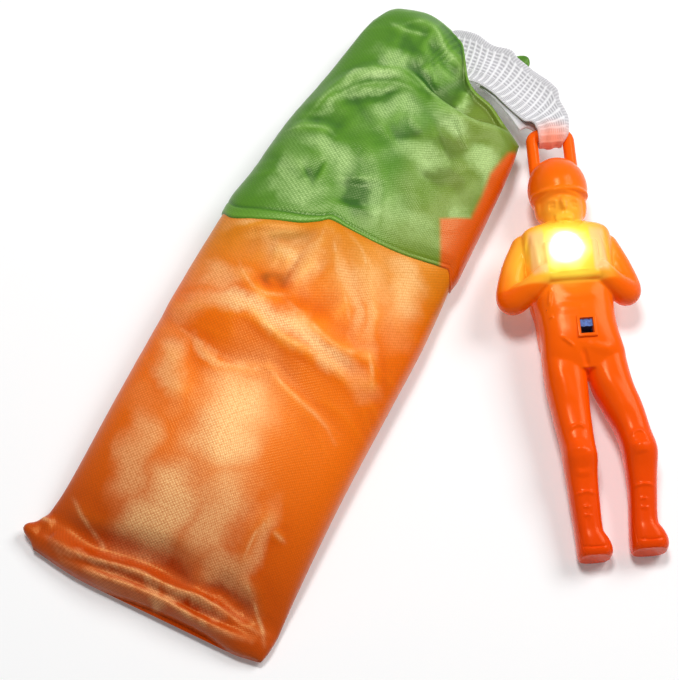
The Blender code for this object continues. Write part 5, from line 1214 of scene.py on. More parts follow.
# Figure shells
# The soldier is moulded in two halves of translucent orange plastic, glued along the parting line, and
# the lamp in the chest lights the plastic round it from inside.
FIGURE_LENGTH = 0.096
FIGURE_WIDTH = 0.031
FIGURE_DEPTH = 0.016
SHELL_VOXEL = 0.00024
SHELL_RELAX_PASSES = 5
SHELL_KEPT_SHARE = 0.45
SHARP_EDGE = math.radians(38.0)
TORSO_EXPONENT = 3.4
BACKPACK_EXPONENT = 6.0
LEG_EXPONENT = 2.8
# Where the halves part, and the gap each leaves there, in millimetres
PARTING = 7.0
PARTING_GAP = 0.05
LAMP_PLACE = (0.0005, 0.030528)
CHEST_PACK_HALF_WIDTH = 0.0058
CHEST_PACK_ABOVE_LAMP = 0.0015
CHEST_PACK_BELOW_LAMP = 0.0077
CHEST_PACK_FRONT = 0.0160
CHEST_PACK_ROUNDING = 0.0012
# From the bar along the body, then middle, half width, back and front as shares of length, width and
# depth
TORSO_SHARES = (
    (0.238, 0.010, 0.150, 0.310, 0.690),
    (0.248, 0.010, 0.252, 0.250, 0.775),
    (0.261, 0.010, 0.300, 0.175, 0.850),
    (0.281, 0.010, 0.312, 0.150, 0.900),
    (0.323, 0.010, 0.306, 0.130, 0.935),
    (0.365, 0.012, 0.292, 0.130, 0.935),
    (0.406, 0.016, 0.274, 0.140, 0.905),
    (0.465, 0.023, 0.262, 0.150, 0.880),
    (0.507, 0.032, 0.265, 0.120, 0.875),
    (0.552, 0.045, 0.281, 0.110, 0.830),
    (0.594, 0.052, 0.277, 0.170, 0.735),
)
RIGHT_LEG_SHARES = (
    (0.542, -0.094, 0.145, 0.138, 0.787),
    (0.612, -0.090, 0.142, 0.125, 0.750),
    (0.688, -0.077, 0.126, 0.125, 0.700),
    (0.755, -0.060, 0.114, 0.110, 0.690),
    (0.785, -0.056, 0.116, 0.100, 0.720),
    (0.823, -0.055, 0.106, 0.075, 0.620),
    (0.875, -0.052, 0.100, 0.025, 0.560),
    (0.945, -0.044, 0.095, 0.000, 0.500),
    (0.960, -0.030, 0.108, -0.025, 0.500),
    (0.977, -0.020, 0.118, -0.030, 0.490),
    (0.992, -0.019, 0.117, -0.030, 0.475),
    (1.000, -0.023, 0.103, 0.013, 0.438),
)
LEFT_LEG_SHARES = (
    (0.542, 0.181, 0.139, 0.138, 0.787),
    (0.621, 0.216, 0.139, 0.125, 0.750),
    (0.677, 0.273, 0.131, 0.125, 0.713),
    (0.731, 0.322, 0.114, 0.113, 0.690),
    (0.778, 0.348, 0.116, 0.100, 0.720),
    (0.823, 0.345, 0.104, 0.075, 0.620),
    (0.865, 0.339, 0.096, 0.031, 0.560),
    (0.935, 0.323, 0.097, 0.000, 0.500),
    (0.950, 0.336, 0.114, -0.025, 0.500),
    (0.968, 0.347, 0.127, -0.030, 0.490),
    (0.984, 0.347, 0.126, -0.030, 0.475),
    (0.993, 0.345, 0.113, 0.013, 0.438),
)
BACKPACK_SHARES = (
    (0.252, 0.010, 0.240, -0.031, 0.310),
    (0.262, 0.010, 0.268, -0.031, 0.310),
    (0.400, 0.010, 0.266, -0.031, 0.310),
    (0.440, 0.012, 0.246, -0.031, 0.310),
    (0.500, 0.014, 0.237, -0.031, 0.310),
    (0.510, 0.014, 0.225, -0.031, 0.310),
)
# Middle across, along and high, then half sizes, as shares of width, length and depth: the helmet, its
# brim, the face, nose, chin, neck and ear flaps
HEAD_SHARES = (
    (0.006, 0.146, 0.494, 0.210, 0.076, 0.425),
    (0.006, 0.172, 0.560, 0.206, 0.014, 0.360),
    (0.010, 0.196, 0.525, 0.162, 0.066, 0.330),
    (0.010, 0.205, 0.838, 0.028, 0.017, 0.062),
    (0.010, 0.238, 0.790, 0.070, 0.014, 0.045),
    (0.010, 0.250, 0.475, 0.135, 0.035, 0.250),
    (-0.132, 0.190, 0.512, 0.042, 0.034, 0.160),
    (0.152, 0.190, 0.512, 0.042, 0.034, 0.160),
)
# Across, along, high and radius along an arm, as shares of width, length, depth and width
RIGHT_ARM_SHARES = (
    (-0.265, 0.290, 0.500, 0.110),
    (-0.361, 0.347, 0.512, 0.100),
    (-0.403, 0.412, 0.550, 0.103),
    (-0.290, 0.405, 0.738, 0.084),
    (-0.172, 0.378, 0.863, 0.074),
)
LEFT_ARM_SHARES = (
    (0.277, 0.298, 0.500, 0.106),
    (0.355, 0.354, 0.512, 0.100),
    (0.390, 0.408, 0.550, 0.102),
    (0.300, 0.402, 0.738, 0.084),
    (0.214, 0.376, 0.863, 0.074),
)
LOOP_HALF_WIDTH = 4.02
LOOP_BEND = 1.7
LOOP_ROOT = 11.2
# Modelled lines on the front, in millimetres from the bar, as for the canopy's creases
FRONT_LINES = (
    (0.22, 0.45, 0.35, 0.15, (
        (-6.3, -18.4), (-4.5, -17.8), (-2.0, -17.3), (0.3, -17.2), (3.4, -17.7), (5.8, -18.8),
    )),
    (-0.40, 0.85, 0.85, 0.35, ((-2.9, -20.0), (-1.3, -20.1))),
    (-0.40, 0.85, 0.85, 0.35, ((1.9, -20.1), (3.5, -20.0))),
    (0.16, 0.30, 0.30, 0.10, ((-2.9, -20.1), (-2.1, -19.8), (-1.4, -20.2))),
    (0.16, 0.30, 0.30, 0.10, ((2.0, -20.2), (2.7, -19.8), (3.5, -20.1))),
    (0.22, 0.45, 0.45, 0.20, ((-3.3, -19.1), (-2.1, -18.8), (-0.8, -19.2))),
    (0.22, 0.45, 0.45, 0.20, ((1.4, -19.2), (2.7, -18.8), (3.9, -19.1))),
    (0.30, 0.50, 0.50, 0.25, ((0.3, -19.4), (0.3, -21.6))),
    (0.14, 0.40, 0.40, 0.15, ((-0.5, -21.7), (1.1, -21.7))),
    (0.16, 0.45, 0.35, 0.15, ((-0.8, -23.2), (0.3, -23.0), (1.5, -23.2))),
    (-0.28, 0.26, 0.26, 0.08, ((-1.1, -23.7), (0.3, -23.6), (1.8, -23.7))),
    (0.20, 0.45, 0.45, 0.20, ((-0.5, -24.3), (0.3, -24.4), (1.2, -24.3))),
    (0.25, 0.40, 0.40, 0.15, ((-5.1, -20.3), (-4.5, -22.9), (-3.2, -25.0), (-1.4, -26.2))),
    (0.25, 0.40, 0.40, 0.15, ((5.5, -20.3), (4.9, -22.9), (3.7, -25.0), (2.0, -26.2))),
    (0.28, 0.45, 0.45, 0.20, ((-4.4, -26.3), (-2.2, -27.6), (0.5, -27.9), (3.0, -27.6), (5.2, -26.3))),
    (-0.55, 0.55, 0.55, 0.20, ((-7.7, -26.2), (-8.4, -29.5), (-8.8, -33.0), (-9.0, -35.6))),
    (-0.55, 0.55, 0.55, 0.20, ((7.0, -26.2), (7.9, -29.5), (8.4, -33.0), (8.5, -35.8))),
    (0.22, 0.35, 0.35, 0.12, ((-5.2, -37.0), (0.2, -36.7), (5.8, -36.5))),
    (0.20, 0.60, 0.60, 0.25, ((-7.2, -27.0), (-6.9, -31.0), (-6.6, -36.5))),
    (0.20, 0.60, 0.60, 0.25, ((7.0, -27.4), (7.0, -31.0), (6.9, -36.0))),
    (0.28, 0.45, 0.35, 0.15, ((-4.7, -39.6), (-5.2, -42.0), (-5.3, -43.8))),
    (0.24, 0.50, 0.50, 0.20, ((-5.3, -45.7), (-5.1, -46.2))),
    (0.15, 1.20, 1.20, 0.60, ((-3.0, -41.0), (1.5, -41.6), (6.0, -40.8))),
    (0.15, 1.30, 1.30, 0.60, ((-4.5, -44.6), (-0.5, -44.4), (3.0, -45.0))),
    (0.32, 0.30, 0.55, 0.12, ((-3.7, -50.3), (-2.3, -51.5), (-0.9, -52.8))),
    (0.22, 1.20, 1.20, 0.50, ((1.5, -52.0), (4.5, -53.4), (7.5, -53.6))),
    (-0.40, 0.70, 0.70, 0.25, ((0.6, -52.8), (1.1, -55.0), (1.5, -57.4))),
    (0.16, 1.40, 1.40, 0.70, ((-5.9, -56.0), (-3.8, -60.0), (-3.2, -65.0))),
    (0.16, 1.40, 1.40, 0.70, ((4.4, -58.0), (7.2, -63.0), (9.0, -68.0))),
    (0.26, 0.35, 0.55, 0.12, ((-4.2, -70.7), (-3.0, -69.5), (-1.4, -69.3), (-0.1, -70.2))),
    (0.34, 1.50, 1.50, 0.90, ((-2.3, -72.0), (-2.1, -75.4))),
    (0.26, 0.35, 0.55, 0.12, ((8.4, -72.7), (9.5, -71.6), (11.0, -71.4), (12.1, -72.2))),
    (0.34, 1.50, 1.50, 0.90, ((10.2, -73.6), (10.6, -76.6))),
    (0.20, 0.80, 0.80, 0.30, ((-3.9, -78.6), (-2.0, -79.4), (0.2, -78.8))),
    (0.26, 0.35, 0.50, 0.12, ((-4.6, -83.7), (-1.7, -83.2), (1.2, -83.7))),
    (0.26, 0.35, 0.50, 0.12, ((7.3, -82.8), (10.3, -82.3), (13.3, -82.8))),
    (0.20, 0.30, 0.30, 0.10, ((-2.7, -86.2), (-0.9, -86.2))),
    (0.20, 0.30, 0.30, 0.10, ((-2.7, -88.0), (-0.9, -88.0))),
    (0.20, 0.30, 0.30, 0.10, ((9.1, -85.3), (10.9, -85.3))),
    (0.20, 0.30, 0.30, 0.10, ((9.1, -87.1), (10.9, -87.1))),
    (-0.22, 0.25, 0.25, 0.08, ((-4.2, -94.0), (-0.8, -94.5), (2.4, -94.2))),
    (-0.22, 0.25, 0.25, 0.08, ((7.4, -93.2), (10.8, -93.7), (14.1, -93.4))),
)
# The same on the back: the pack's flap, straps and side pockets, and creases behind the knees
BACK_LINES = (
    (-0.30, 0.30, 0.30, 0.10, ((-7.4, -26.4), (-7.4, -34.0), (-7.2, -47.0))),
    (-0.30, 0.30, 0.30, 0.10, ((8.0, -26.4), (8.0, -34.0), (7.6, -47.0))),
    (0.40, 0.60, 0.60, 0.20, ((-5.0, -19.5), (0.3, -18.6), (5.6, -19.5))),
    (-0.35, 0.50, 0.50, 0.20, ((0.9, -50.5), (1.4, -54.0), (1.5, -57.0))),
    (-0.30, 0.60, 0.60, 0.25, ((-4.6, -74.0), (-1.9, -74.6), (0.6, -74.0))),
    (-0.30, 0.60, 0.60, 0.25, ((7.6, -75.0), (10.8, -75.6), (13.6, -75.0))),
    (-0.25, 0.30, 0.30, 0.10, ((-4.4, -84.6), (-1.6, -84.6), (1.2, -84.6))),
    (-0.25, 0.30, 0.30, 0.10, ((7.4, -83.6), (10.3, -83.6), (13.2, -83.6))),
)
figure_origin = (TAPE_LOOP[0] * MM, TAPE_LOOP[1] * MM, 0.0)
figure_place = Matrix.Translation(figure_origin) @ Matrix.Rotation(FIGURE_TURN, 4, "Z")


def add_rings(bm, rings):
    """Skin between rings of points, closed at both ends"""
    rows = [[bm.verts.new(point) for point in ring] for ring in rings]
    for low, high in zip(rows, rows[1:]):
        for index in range(len(low)):
            after = (index + 1) % len(low)
            bm.faces.new((low[index], low[after], high[after], high[index]))
    bm.faces.new(rows[0][::-1])
    bm.faces.new(rows[-1])


def add_limb(bm, rows, exponent, count=60, sides=56):
    """A lofted limb from a table of its middle, half width, back and front"""
    places = np.linspace(rows[0][0], rows[-1][0], count)
    middle, half, back_side, front_side = (table_at(rows, places, column) for column in (1, 2, 3, 4))
    angle = np.linspace(0.0, math.tau, sides, endpoint=False)
    across, rise = round_section(angle, exponent)
    x = (middle[:, None] + half[:, None] * across) * FIGURE_WIDTH
    z = (back_side[:, None] + (front_side - back_side)[:, None] * (0.5 + 0.5 * rise)) * FIGURE_DEPTH
    y = np.broadcast_to(-places[:, None] * FIGURE_LENGTH, x.shape)
    add_rings(bm, np.stack([x, y, z], axis=-1))


def add_block(bm, x_low, x_high, y_low, y_high, z_low, z_high, rounding=0.0):
    """A block between two corners, with its edges rounded"""
    middle = Vector(((x_low + x_high) / 2, (y_low + y_high) / 2, (z_low + z_high) / 2))
    size = Matrix.Diagonal((x_high - x_low, y_high - y_low, z_high - z_low, 1.0))
    made = bmesh.ops.create_cube(bm, size=1.0, matrix=Matrix.Translation(middle) @ size)["verts"]
    if rounding:
        edges = {edge for vert in made for edge in vert.link_edges}
        bmesh.ops.bevel(bm, geom=list(edges), offset=rounding, segments=5, profile=0.5, affect="EDGES")


def body_place(x, along, z):
    """The move to a place given in shares of the figure's width, length and depth"""
    return Matrix.Translation((x * FIGURE_WIDTH, -along * FIGURE_LENGTH, z * FIGURE_DEPTH))


def mesh_item(name, bm):
    """An object from a bmesh that is finished with"""
    bmesh.ops.recalc_face_normals(bm, faces=bm.faces[:])
    mesh = bpy.data.meshes.new(name)
    bm.to_mesh(mesh)
    bm.free()
    item = bpy.data.objects.new(name, mesh)
    bpy.context.scene.collection.objects.link(item)
    return item


def bake_modifiers(item):
    """Turn what an object's modifiers make into its own mesh"""
    mesh = bpy.data.meshes.new_from_object(item.evaluated_get(bpy.context.evaluated_depsgraph_get()))
    item.modifiers.clear()
    item.data = mesh


def vertex_rows(item, field):
    """Rows of three numbers that a mesh's vertices hold"""
    values = np.empty(len(item.data.vertices) * 3)
    item.data.vertices.foreach_get(field, values)
    return values.reshape(-1, 3)


forms = bmesh.new()
add_limb(forms, TORSO_SHARES, TORSO_EXPONENT)
add_limb(forms, BACKPACK_SHARES, BACKPACK_EXPONENT)
add_limb(forms, RIGHT_LEG_SHARES, LEG_EXPONENT)
add_limb(forms, LEFT_LEG_SHARES, LEG_EXPONENT)
for x, along, z, half_width, half_length, half_depth in HEAD_SHARES:
    halves = (half_width * FIGURE_WIDTH, half_length * FIGURE_LENGTH, half_depth * FIGURE_DEPTH, 1.0)
    place = body_place(x, along, z) @ Matrix.Diagonal(halves)
    bmesh.ops.create_uvsphere(forms, u_segments=48, v_segments=32, radius=1.0, matrix=place)
for rows in (RIGHT_ARM_SHARES, LEFT_ARM_SHARES):
    keyed = [(index, *row) for index, row in enumerate(rows)]
    for reached in np.linspace(0.0, len(rows) - 1, 44):
        x, along, z, radius = (float(table_at(keyed, reached, column)) for column in (1, 2, 3, 4))
        place = body_place(x, along, z)
        bmesh.ops.create_icosphere(forms, subdivisions=3, radius=radius * FIGURE_WIDTH, matrix=place)
add_block(
    forms, LAMP_PLACE[0] - CHEST_PACK_HALF_WIDTH, LAMP_PLACE[0] + CHEST_PACK_HALF_WIDTH,
    -LAMP_PLACE[1] - CHEST_PACK_BELOW_LAMP, -LAMP_PLACE[1] + CHEST_PACK_ABOVE_LAMP,
    PARTING * MM, CHEST_PACK_FRONT, CHEST_PACK_ROUNDING,
)
# The loop is a round bar bent over at the top, whose legs run into the helmet
loop_bend = np.linspace(0.0, math.pi / 2, 14)
loop_line = [(-LOOP_HALF_WIDTH, -LOOP_ROOT)] + [
    (-LOOP_HALF_WIDTH + LOOP_BEND * (1.0 - math.cos(a)), -LOOP_BEND * (1.0 - math.sin(a))) for a in loop_bend
]
loop_line = np.array(loop_line + [(-x, y) for x, y in reversed(loop_line)]) * MM
loop_runs = np.gradient(loop_line, axis=0)
loop_runs /= np.linalg.norm(loop_runs, axis=1, keepdims=True)
bar_turn = np.linspace(0.0, math.tau, 32, endpoint=False)
add_rings(forms, [
    [(x - run[1] * LOOP_BAR_RADIUS * MM * math.cos(t), y + run[0] * LOOP_BAR_RADIUS * MM * math.cos(t),
      TAPE_LOOP[2] * MM + LOOP_BAR_RADIUS * MM * math.sin(t)) for t in bar_turn]
    for (x, y), run in zip(loop_line, loop_runs)
])
body = mesh_item("moulded_body", forms)
skin = body.modifiers.new("skin", "REMESH")
skin.mode = "VOXEL"
skin.voxel_size = SHELL_VOXEL
relax = body.modifiers.new("relax", "SMOOTH")
relax.factor = 0.5
relax.iterations = SHELL_RELAX_PASSES
bake_modifiers(body)

# The modelled lines of the face, harness, clothes and boots
skin_points = vertex_rows(body, "co")
skin_facing = vertex_rows(body, "normal")[:, 2]
skin_x = skin_points[:, 0] / MM
skin_y = skin_points[:, 1] / MM
front_room = smooth_step((skin_facing - 0.05) / 0.45) * (skin_points[:, 2] > PARTING * MM)
back_room = smooth_step((-skin_facing - 0.05) / 0.45) * (skin_points[:, 2] < PARTING * MM)
skin_points[:, 2] += MM * front_room * crease_heights(FRONT_LINES, skin_x, skin_y)
skin_points[:, 2] = np.maximum(skin_points[:, 2], 0.0)
skin_points[:, 2] -= MM * back_room * crease_heights(BACK_LINES, skin_x, skin_y)
skin_points[:, 2] = np.maximum(skin_points[:, 2], 0.0)
body.data.vertices.foreach_set("co", skin_points.reshape(-1))
body.data.update()
thin = body.modifiers.new("thin", "DECIMATE")
thin.ratio = SHELL_KEPT_SHARE
bake_modifiers(body)

# The halves part at the parting line, and each is hollow for what it holds. Millimetres from the bar:
# left, right, top, bottom, back and front
ROOMS = (
    (-6.9, 6.9, 25.63, 43.83, 2.1, 11.2),
    (-6.9, 6.9, 33.43, 43.83, 5.8, 11.8),
    (-6.0, 6.0, 26.23, 44.33, 5.8, 13.03),
    (-2.3, 6.3, 43.63, 52.53, 6.3, 11.9),
)
LAMP_BORE = (0.5, 30.53, 2.8, 6.5, 13.4)
BEZEL = (-0.10, 4.10, 46.08, 50.98, 12.3, 14.3)
WINDOW = (0.60, 3.40, 46.78, 50.28, 11.6, 18.0)
FRONT_CUT = (-40.0, 40.0, 12.0, 110.0, -5.0, PARTING + PARTING_GAP)
BACK_CUTS = (
    (-40.0, 40.0, 12.1, 110.0, PARTING - PARTING_GAP, 25.0),
    (-40.0, 40.0, -20.0, 12.1, -5.0, 25.0),
)
DOOR_RECESS = (-6.4, 6.4, 33.43, 46.93, -2.0, 1.3)
CELL_OPENING = (-5.7, 5.7, 34.43, 42.93, -2.0, 2.4)
SCREW_BORE = (0.0, 44.63, 0.85, -2.0, 5.8)


def block_tool(left, right, top, bottom, low, high, rounding=0.0):
    """A block to carve with, in millimetres from the bar"""
    bm = bmesh.new()
    add_block(bm, left * MM, right * MM, -bottom * MM, -top * MM, low * MM, high * MM, rounding * MM)
    return mesh_item("block_tool", bm)


def bore_tool(across, along, radius, low, high):
    """A round pin to carve with, in millimetres from the bar"""
    bm = bmesh.new()
    turn = np.linspace(0.0, math.tau, 40, endpoint=False)
    add_rings(bm, [
        [((across + radius * math.cos(t)) * MM, (radius * math.sin(t) - along) * MM, level * MM) for t in turn]
        for level in (low, high)
    ])
    return mesh_item("bore_tool", bm)


def carve(item, cuts):
    """Add and take away tools in turn, and put what is left in the figure's place on the tape"""
    for operation, tool in cuts:
        cut = item.modifiers.new("cut", "BOOLEAN")
        cut.operation = operation
        cut.solver = "MANIFOLD"
        cut.object = tool
    bake_modifiers(item)
    for _, tool in cuts:
        bpy.data.objects.remove(tool)
    item.data.transform(figure_place)
    item.data.shade_smooth()
    item.data.set_sharp_from_angle(angle=SHARP_EDGE)


def half_shell(name, cuts, node):
    """Carve one half from a copy of the moulded body, and put it in place of its solid"""
    shell = bpy.data.objects.new(name, body.data.copy())
    bpy.context.scene.collection.objects.link(shell)
    carve(shell, cuts)
    shell.data.materials.clear()
    shell.data.materials.append(shell_plastic)
    shell.data.polygons.foreach_set("material_index", np.zeros(len(shell.data.polygons), dtype=np.int32))
    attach(shell, "figure")
    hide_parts(node)


# Translucent polystyrene, moulded glossy, with the lamp's light painted in as colour and glow: white over the lamp,
# through yellow and amber to plain deep orange in the limbs, with pale patches where the lamp's housing stands behind
# it.
# Painted lamp light: colours by the distance from the lamp, in millimetres
GLOW_CENTRE = (-0.6, -31.0, 13.0)
GLOW_REACH = 70.0
GLOW_COLOURS = (
    (0.0, "#FFFDF2"), (3.7, "#FFF9D8"), (4.6, "#FFF08A"), (6.2, "#FFE048"), (8.5, "#FEBE36"),
    (12.0, "#FCA430"), (15.5, "#F8780A"), (18.5, "#F46A04"), (25.0, "#F66000"), (34.0, "#F45800"),
    (52.0, "#F04C00"), (66.0, "#E84200"),
)
# Painted glow given off by the plastic, by the same distance; a faint glow stays over the whole figure
GLOW_LIGHT = (
    (0.0, "#FFFFFF"), (3.3, "#FFFFFF"), (4.3, "#D8C460"), (5.8, "#84651A"), (9.0, "#6E3C08"),
    (14.0, "#6A2C04"), (20.0, "#5A1C02"), (66.0, "#4A1200"),
)
# Painted shade in the painted lamp light: under the chest pack, from the chin up and on the arm beside the slots of
# the switch, the plastic is coloured as if farther from the lamp: the axis, where this starts and is full, and what
# it adds at both
GLOW_SHADES = (
    ("Y", -38.0, -39.2, -0.9, 5.6),
    ("Y", -27.0, -24.0, 0.0, 0.8),
    ("X", 5.0, 12.0, 0.0, 3.6),
)
# The cheeks of the lamp's housing: the axis, where a border starts and is full, and how pale it gets. The
# inner and outer border, the top, the bottom and the front
CHEEK_BORDERS = (
    ("side", 4.5, 5.3, 1.0), ("side", 8.5, 7.5, 1.0), ("Y", -24.8, -27.4, 1.0), ("Y", -37.4, -35.8, 1.0),
    ("Z", 9.0, 11.0, 0.85),
)
shell_plastic, shell_output = new_material("translucent_polystyrene")
shell_place = add_node(shell_plastic, "ShaderNodeTexCoord", {})
shell_mm = add_node(shell_plastic, "ShaderNodeMapping", {
    "vector_type": "TEXTURE", "Location": figure_origin,
    "Rotation": (0.0, 0.0, FIGURE_TURN), "Scale": (MM, MM, MM),
}, {"Vector": shell_place.outputs["Object"]})
shell_parts = add_node(shell_plastic, "ShaderNodeSeparateXYZ", {}, {0: shell_mm.outputs[0]})
from_glow = add_node(shell_plastic, "ShaderNodeVectorMath", {"operation": "SUBTRACT", 1: GLOW_CENTRE}, {
    0: shell_mm.outputs[0],
})
from_glow = add_node(shell_plastic, "ShaderNodeVectorMath", {"operation": "MULTIPLY", 1: (1.0, 1.0, 0.45)}, {
    0: from_glow.outputs[0],
})
glow_length = add_node(shell_plastic, "ShaderNodeVectorMath", {"operation": "LENGTH"}, {0: from_glow.outputs[0]})
uneven_glow = add_node(shell_plastic, "ShaderNodeTexNoise", {"Scale": 0.22, "Detail": 1.0}, {
    "Vector": shell_mm.outputs[0],
})
glow_length = add_node(shell_plastic, "ShaderNodeMath", {"operation": "MULTIPLY_ADD", 1: 1.8}, {
    0: uneven_glow.outputs["Fac"], 2: glow_length.outputs["Value"],
})
for axis, start, full, least, most in GLOW_SHADES:
    shade = add_node(shell_plastic, "ShaderNodeMapRange", {
        "interpolation_type": "SMOOTHSTEP", "From Min": start, "From Max": full, "To Min": least, "To Max": most,
    }, {"Value": shell_parts.outputs[axis]})
    glow_length = add_node(shell_plastic, "ShaderNodeMath", {"operation": "ADD"}, {
        0: glow_length.outputs[0], 1: shade.outputs["Result"],
    })
glow_share = add_node(shell_plastic, "ShaderNodeMath", {"operation": "DIVIDE", 1: GLOW_REACH}, {
    0: glow_length.outputs[0],
})
shell_colour = add_node(shell_plastic, "ShaderNodeValToRGB", {}, {"Fac": glow_share.outputs[0]})
fill_ramp(shell_colour, GLOW_COLOURS, GLOW_REACH)
shell_light = add_node(shell_plastic, "ShaderNodeValToRGB", {}, {"Fac": glow_share.outputs[0]})
fill_ramp(shell_light, GLOW_LIGHT, GLOW_REACH)
cheek_side = add_node(shell_plastic, "ShaderNodeMath", {"operation": "ABSOLUTE"}, {0: shell_parts.outputs["X"]})
cheek_axes = {"side": cheek_side.outputs[0], "Y": shell_parts.outputs["Y"], "Z": shell_parts.outputs["Z"]}
cheek_borders = [
    add_node(shell_plastic, "ShaderNodeMapRange", {
        "interpolation_type": "SMOOTHSTEP", "From Min": start, "From Max": full, "To Max": most,
    }, {"Value": cheek_axes[axis]}).outputs["Result"]
    for axis, start, full, most in CHEEK_BORDERS
]
cheek = cheek_borders[0]
for border in cheek_borders[1:]:
    cheek = add_node(shell_plastic, "ShaderNodeMath", {"operation": "MULTIPLY"}, {0: cheek, 1: border}).outputs[0]
shell_toned = add_node(shell_plastic, "ShaderNodeMix", {"data_type": "RGBA", 7: linear("#FEC78C")}, {
    0: cheek, 6: shell_colour.outputs[0],
})
mould_waves = add_node(shell_plastic, "ShaderNodeTexNoise", {"Scale": 0.35, "Detail": 2.0}, {
    "Vector": shell_mm.outputs[0],
})
mould_bump = add_node(shell_plastic, "ShaderNodeBump", {"Strength": 0.15, "Distance": 0.00025}, {
    "Height": mould_waves.outputs["Fac"],
})
shell_shader = add_node(shell_plastic, "ShaderNodeBsdfPrincipled", {
    "Roughness": 0.20, "IOR": 1.55, "Specular IOR Level": 0.17, "Specular Tint": linear("#FFC896"),
    "Sheen Weight": 0.08, "Sheen Roughness": 0.3, "Sheen Tint": linear("#FFB070"), "Emission Strength": 1.0,
}, {
    "Base Color": shell_toned.outputs[2], "Emission Color": shell_light.outputs[0], "Normal": mould_bump.outputs[0],
})
join_output(shell_plastic, shell_shader, shell_output)

half_shell("front_shell", [
    ("DIFFERENCE", block_tool(*FRONT_CUT)), *(("DIFFERENCE", block_tool(*room)) for room in ROOMS),
    ("DIFFERENCE", bore_tool(*LAMP_BORE)), ("UNION", block_tool(*BEZEL, rounding=0.25)),
    ("DIFFERENCE", block_tool(*WINDOW)),
], "figure_front")
half_shell("back_shell", [
    *(("DIFFERENCE", block_tool(*cut)) for cut in BACK_CUTS),
    *(("DIFFERENCE", block_tool(*room)) for room in ROOMS),
    ("DIFFERENCE", bore_tool(*LAMP_BORE)), ("DIFFERENCE", block_tool(*DOOR_RECESS)),
    ("DIFFERENCE", block_tool(*CELL_OPENING)), ("DIFFERENCE", bore_tool(*SCREW_BORE)),
], "figure_back")
bpy.data.objects.remove(body)

# Battery door
# A small snap-in cover of the same orange plastic, flush in the back of the figure under its pack.


def dress(node, material):
    """Give a carried-over piece its material"""
    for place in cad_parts[node].material_slots:
        place.material = material


def grained(name, dark, light, grain, relief, stretch=(1.0, 1.0, 1.0), **finish):
    """A surface whose colour and relief follow one grain in metres, coarser than real so that it shows"""
    material, output = new_material(name)
    place = add_node(material, "ShaderNodeTexCoord", {})
    stretched = add_node(material, "ShaderNodeMapping", {
        "Scale": stretch, "Rotation": (0.0, 0.0, -FIGURE_TURN),
    }, {"Vector": place.outputs["Object"]})
    grain_noise = add_node(material, "ShaderNodeTexNoise", {"Scale": 1.0 / grain, "Detail": 4.0}, {
        "Vector": stretched.outputs[0],
    })
    colour = add_node(material, "ShaderNodeValToRGB", {}, {"Fac": grain_noise.outputs["Fac"]})
    fill_ramp(colour, ((0.35, dark), (0.65, light)))
    bump = add_node(material, "ShaderNodeBump", {"Strength": 0.6, "Distance": relief}, {
        "Height": grain_noise.outputs["Fac"],
    })
    shader = add_node(material, "ShaderNodeBsdfPrincipled", finish, {
        "Base Color": colour.outputs[0], "Normal": bump.outputs[0],
    })
    join_output(material, shader, output)
    return material


dress("battery_door", shell_plastic)

# Door screw
# A zinc-plated cross-slot screw that holds the door shut.
# Zinc plate over rolled steel: a cool grey metal, half bright, with a fine uneven grain.
dress("door_screw", grained(
    "zinc_plated_steel", "#8E9092", "#B9BABA", 0.0004, 0.00001, Metallic=1.0, Roughness=0.34,
))

# Lamp
# A 5 mm lamp of clear cast epoxy, lit, with two tinned leads bent down to the board.
# Clear epoxy round a burning chip: glassy, and bright warm white right through.
lamp_resin, resin_output = new_material("clear_cast_epoxy")
resin_place = add_node(lamp_resin, "ShaderNodeTexCoord", {})
resin_cloud = add_node(lamp_resin, "ShaderNodeTexNoise", {"Scale": 1.0 / 0.0012, "Detail": 2.0}, {
    "Vector": resin_place.outputs["Object"],
})
resin_colour = add_node(lamp_resin, "ShaderNodeValToRGB", {}, {"Fac": resin_cloud.outputs["Fac"]})
fill_ramp(resin_colour, ((0.35, "#FFF0C0"), (0.65, "#FFFBEA")))
resin_shader = add_node(lamp_resin, "ShaderNodeBsdfPrincipled", {
    "Roughness": 0.05, "IOR": 1.54, "Transmission Weight": 0.35, "Emission Strength": 1.0,
}, {"Base Color": resin_colour.outputs[0], "Emission Color": resin_colour.outputs[0]})
join_output(lamp_resin, resin_shader, resin_output)
dress("lamp", lamp_resin)
# Tin over copper wire: a soft bright grey metal with faint drawing lines.
tinned_wire = grained(
    "tinned_copper_wire", "#B4B3AE", "#D2D1CC", 0.0003, 0.000006, (1.0, 0.15, 1.0),
    Metallic=1.0, Roughness=0.28,
)
for node in (
    "lamp_lead_negative", "lamp_lead_positive", "switch_terminal_1", "switch_terminal_2", "switch_terminal_3",
):
    dress(node, tinned_wire)

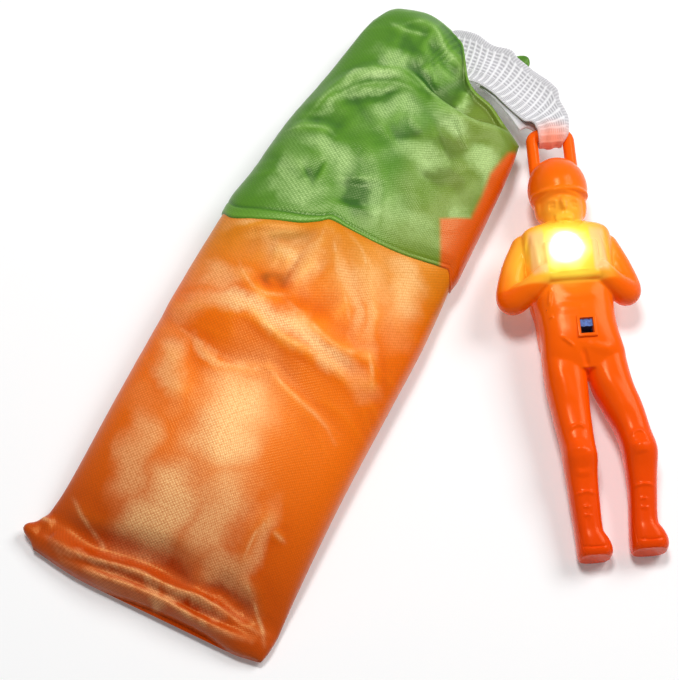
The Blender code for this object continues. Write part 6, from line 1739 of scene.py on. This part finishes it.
# Lamp housing
# The white carrier that holds the lamp, the cells and their contacts, clipped between the two shells.
# Filled white ABS, moulded matt: a warm off-white with a faint spark-eroded grain.
dress("lamp_housing", grained(
    "white_moulded_abs", "#E6DCCB", "#F2EADC", 0.0005, 0.00003, Roughness=0.55, IOR=1.53,
))

# Button cells
# Three pressed steel cells stand side by side in the housing, cap to can.
# Nickel-plated steel: a bright warm grey metal, finely brushed round by the press.
for node in ("button_cell_1", "button_cell_2", "button_cell_3"):
    dress(node, grained(
        f"nickel_plated_can_{node[-1]}", "#A9A79F", "#C9C6BD", 0.0006, 0.00001, (0.25, 1.0, 1.0),
        Metallic=1.0, Roughness=0.24,
    ))

# Contacts
# Stamped spring strips at both ends of the row of cells.
# Phosphor bronze, rolled and stamped: a pinkish yellow metal with fine lines along the roll.
contact_bronze = grained(
    "rolled_phosphor_bronze", "#B58A4E", "#D0A766", 0.0005, 0.00001, (1.0, 0.2, 1.0),
    Metallic=1.0, Roughness=0.30,
)
dress("contact_negative", contact_bronze)
dress("contact_positive", contact_bronze)

# Circuit board
# A small glass laminate board under the switch, with its solder mask on both faces.
# Green mask over laminate: a deep glossy green, paler along the copper under it.
dress("circuit_board", grained(
    "masked_glass_laminate", "#0E3F1E", "#1F6A35", 0.0011, 0.00003, (1.0, 0.3, 1.0), Roughness=0.28, IOR=1.55,
))

# Slide switch
# A miniature slide switch behind the window in the belly: a dark case and a ribbed blue knob.
# Glossy navy nylon, moulded: almost black, with small sharp reflections.
dress("switch_case", grained(
    "navy_moulded_nylon", "#141A40", "#1E2656", 0.0006, 0.00002, Roughness=0.30, IOR=1.53,
))
# Blue ABS, moulded and handled: a mid blue, rubbed a little paler on its ribs.
dress("switch_knob", grained(
    "blue_moulded_abs", "#1E4290", "#3C6CC2", 0.0005, 0.00003, Roughness=0.28, IOR=1.53,
))

# Wires
# Two stranded wires in thin sheaths run from the board to the lamp and the contact.
# Soft vinyl sheath: strong plain red and black, half glossy, with slight dents.
dress("wire_red", grained(
    "red_vinyl_sheath", "#A9100C", "#C61C15", 0.0012, 0.00003, Roughness=0.38, IOR=1.53,
))
dress("wire_black", grained(
    "black_vinyl_sheath", "#121212", "#1F1F1F", 0.0012, 0.00003, Roughness=0.38, IOR=1.53,
))
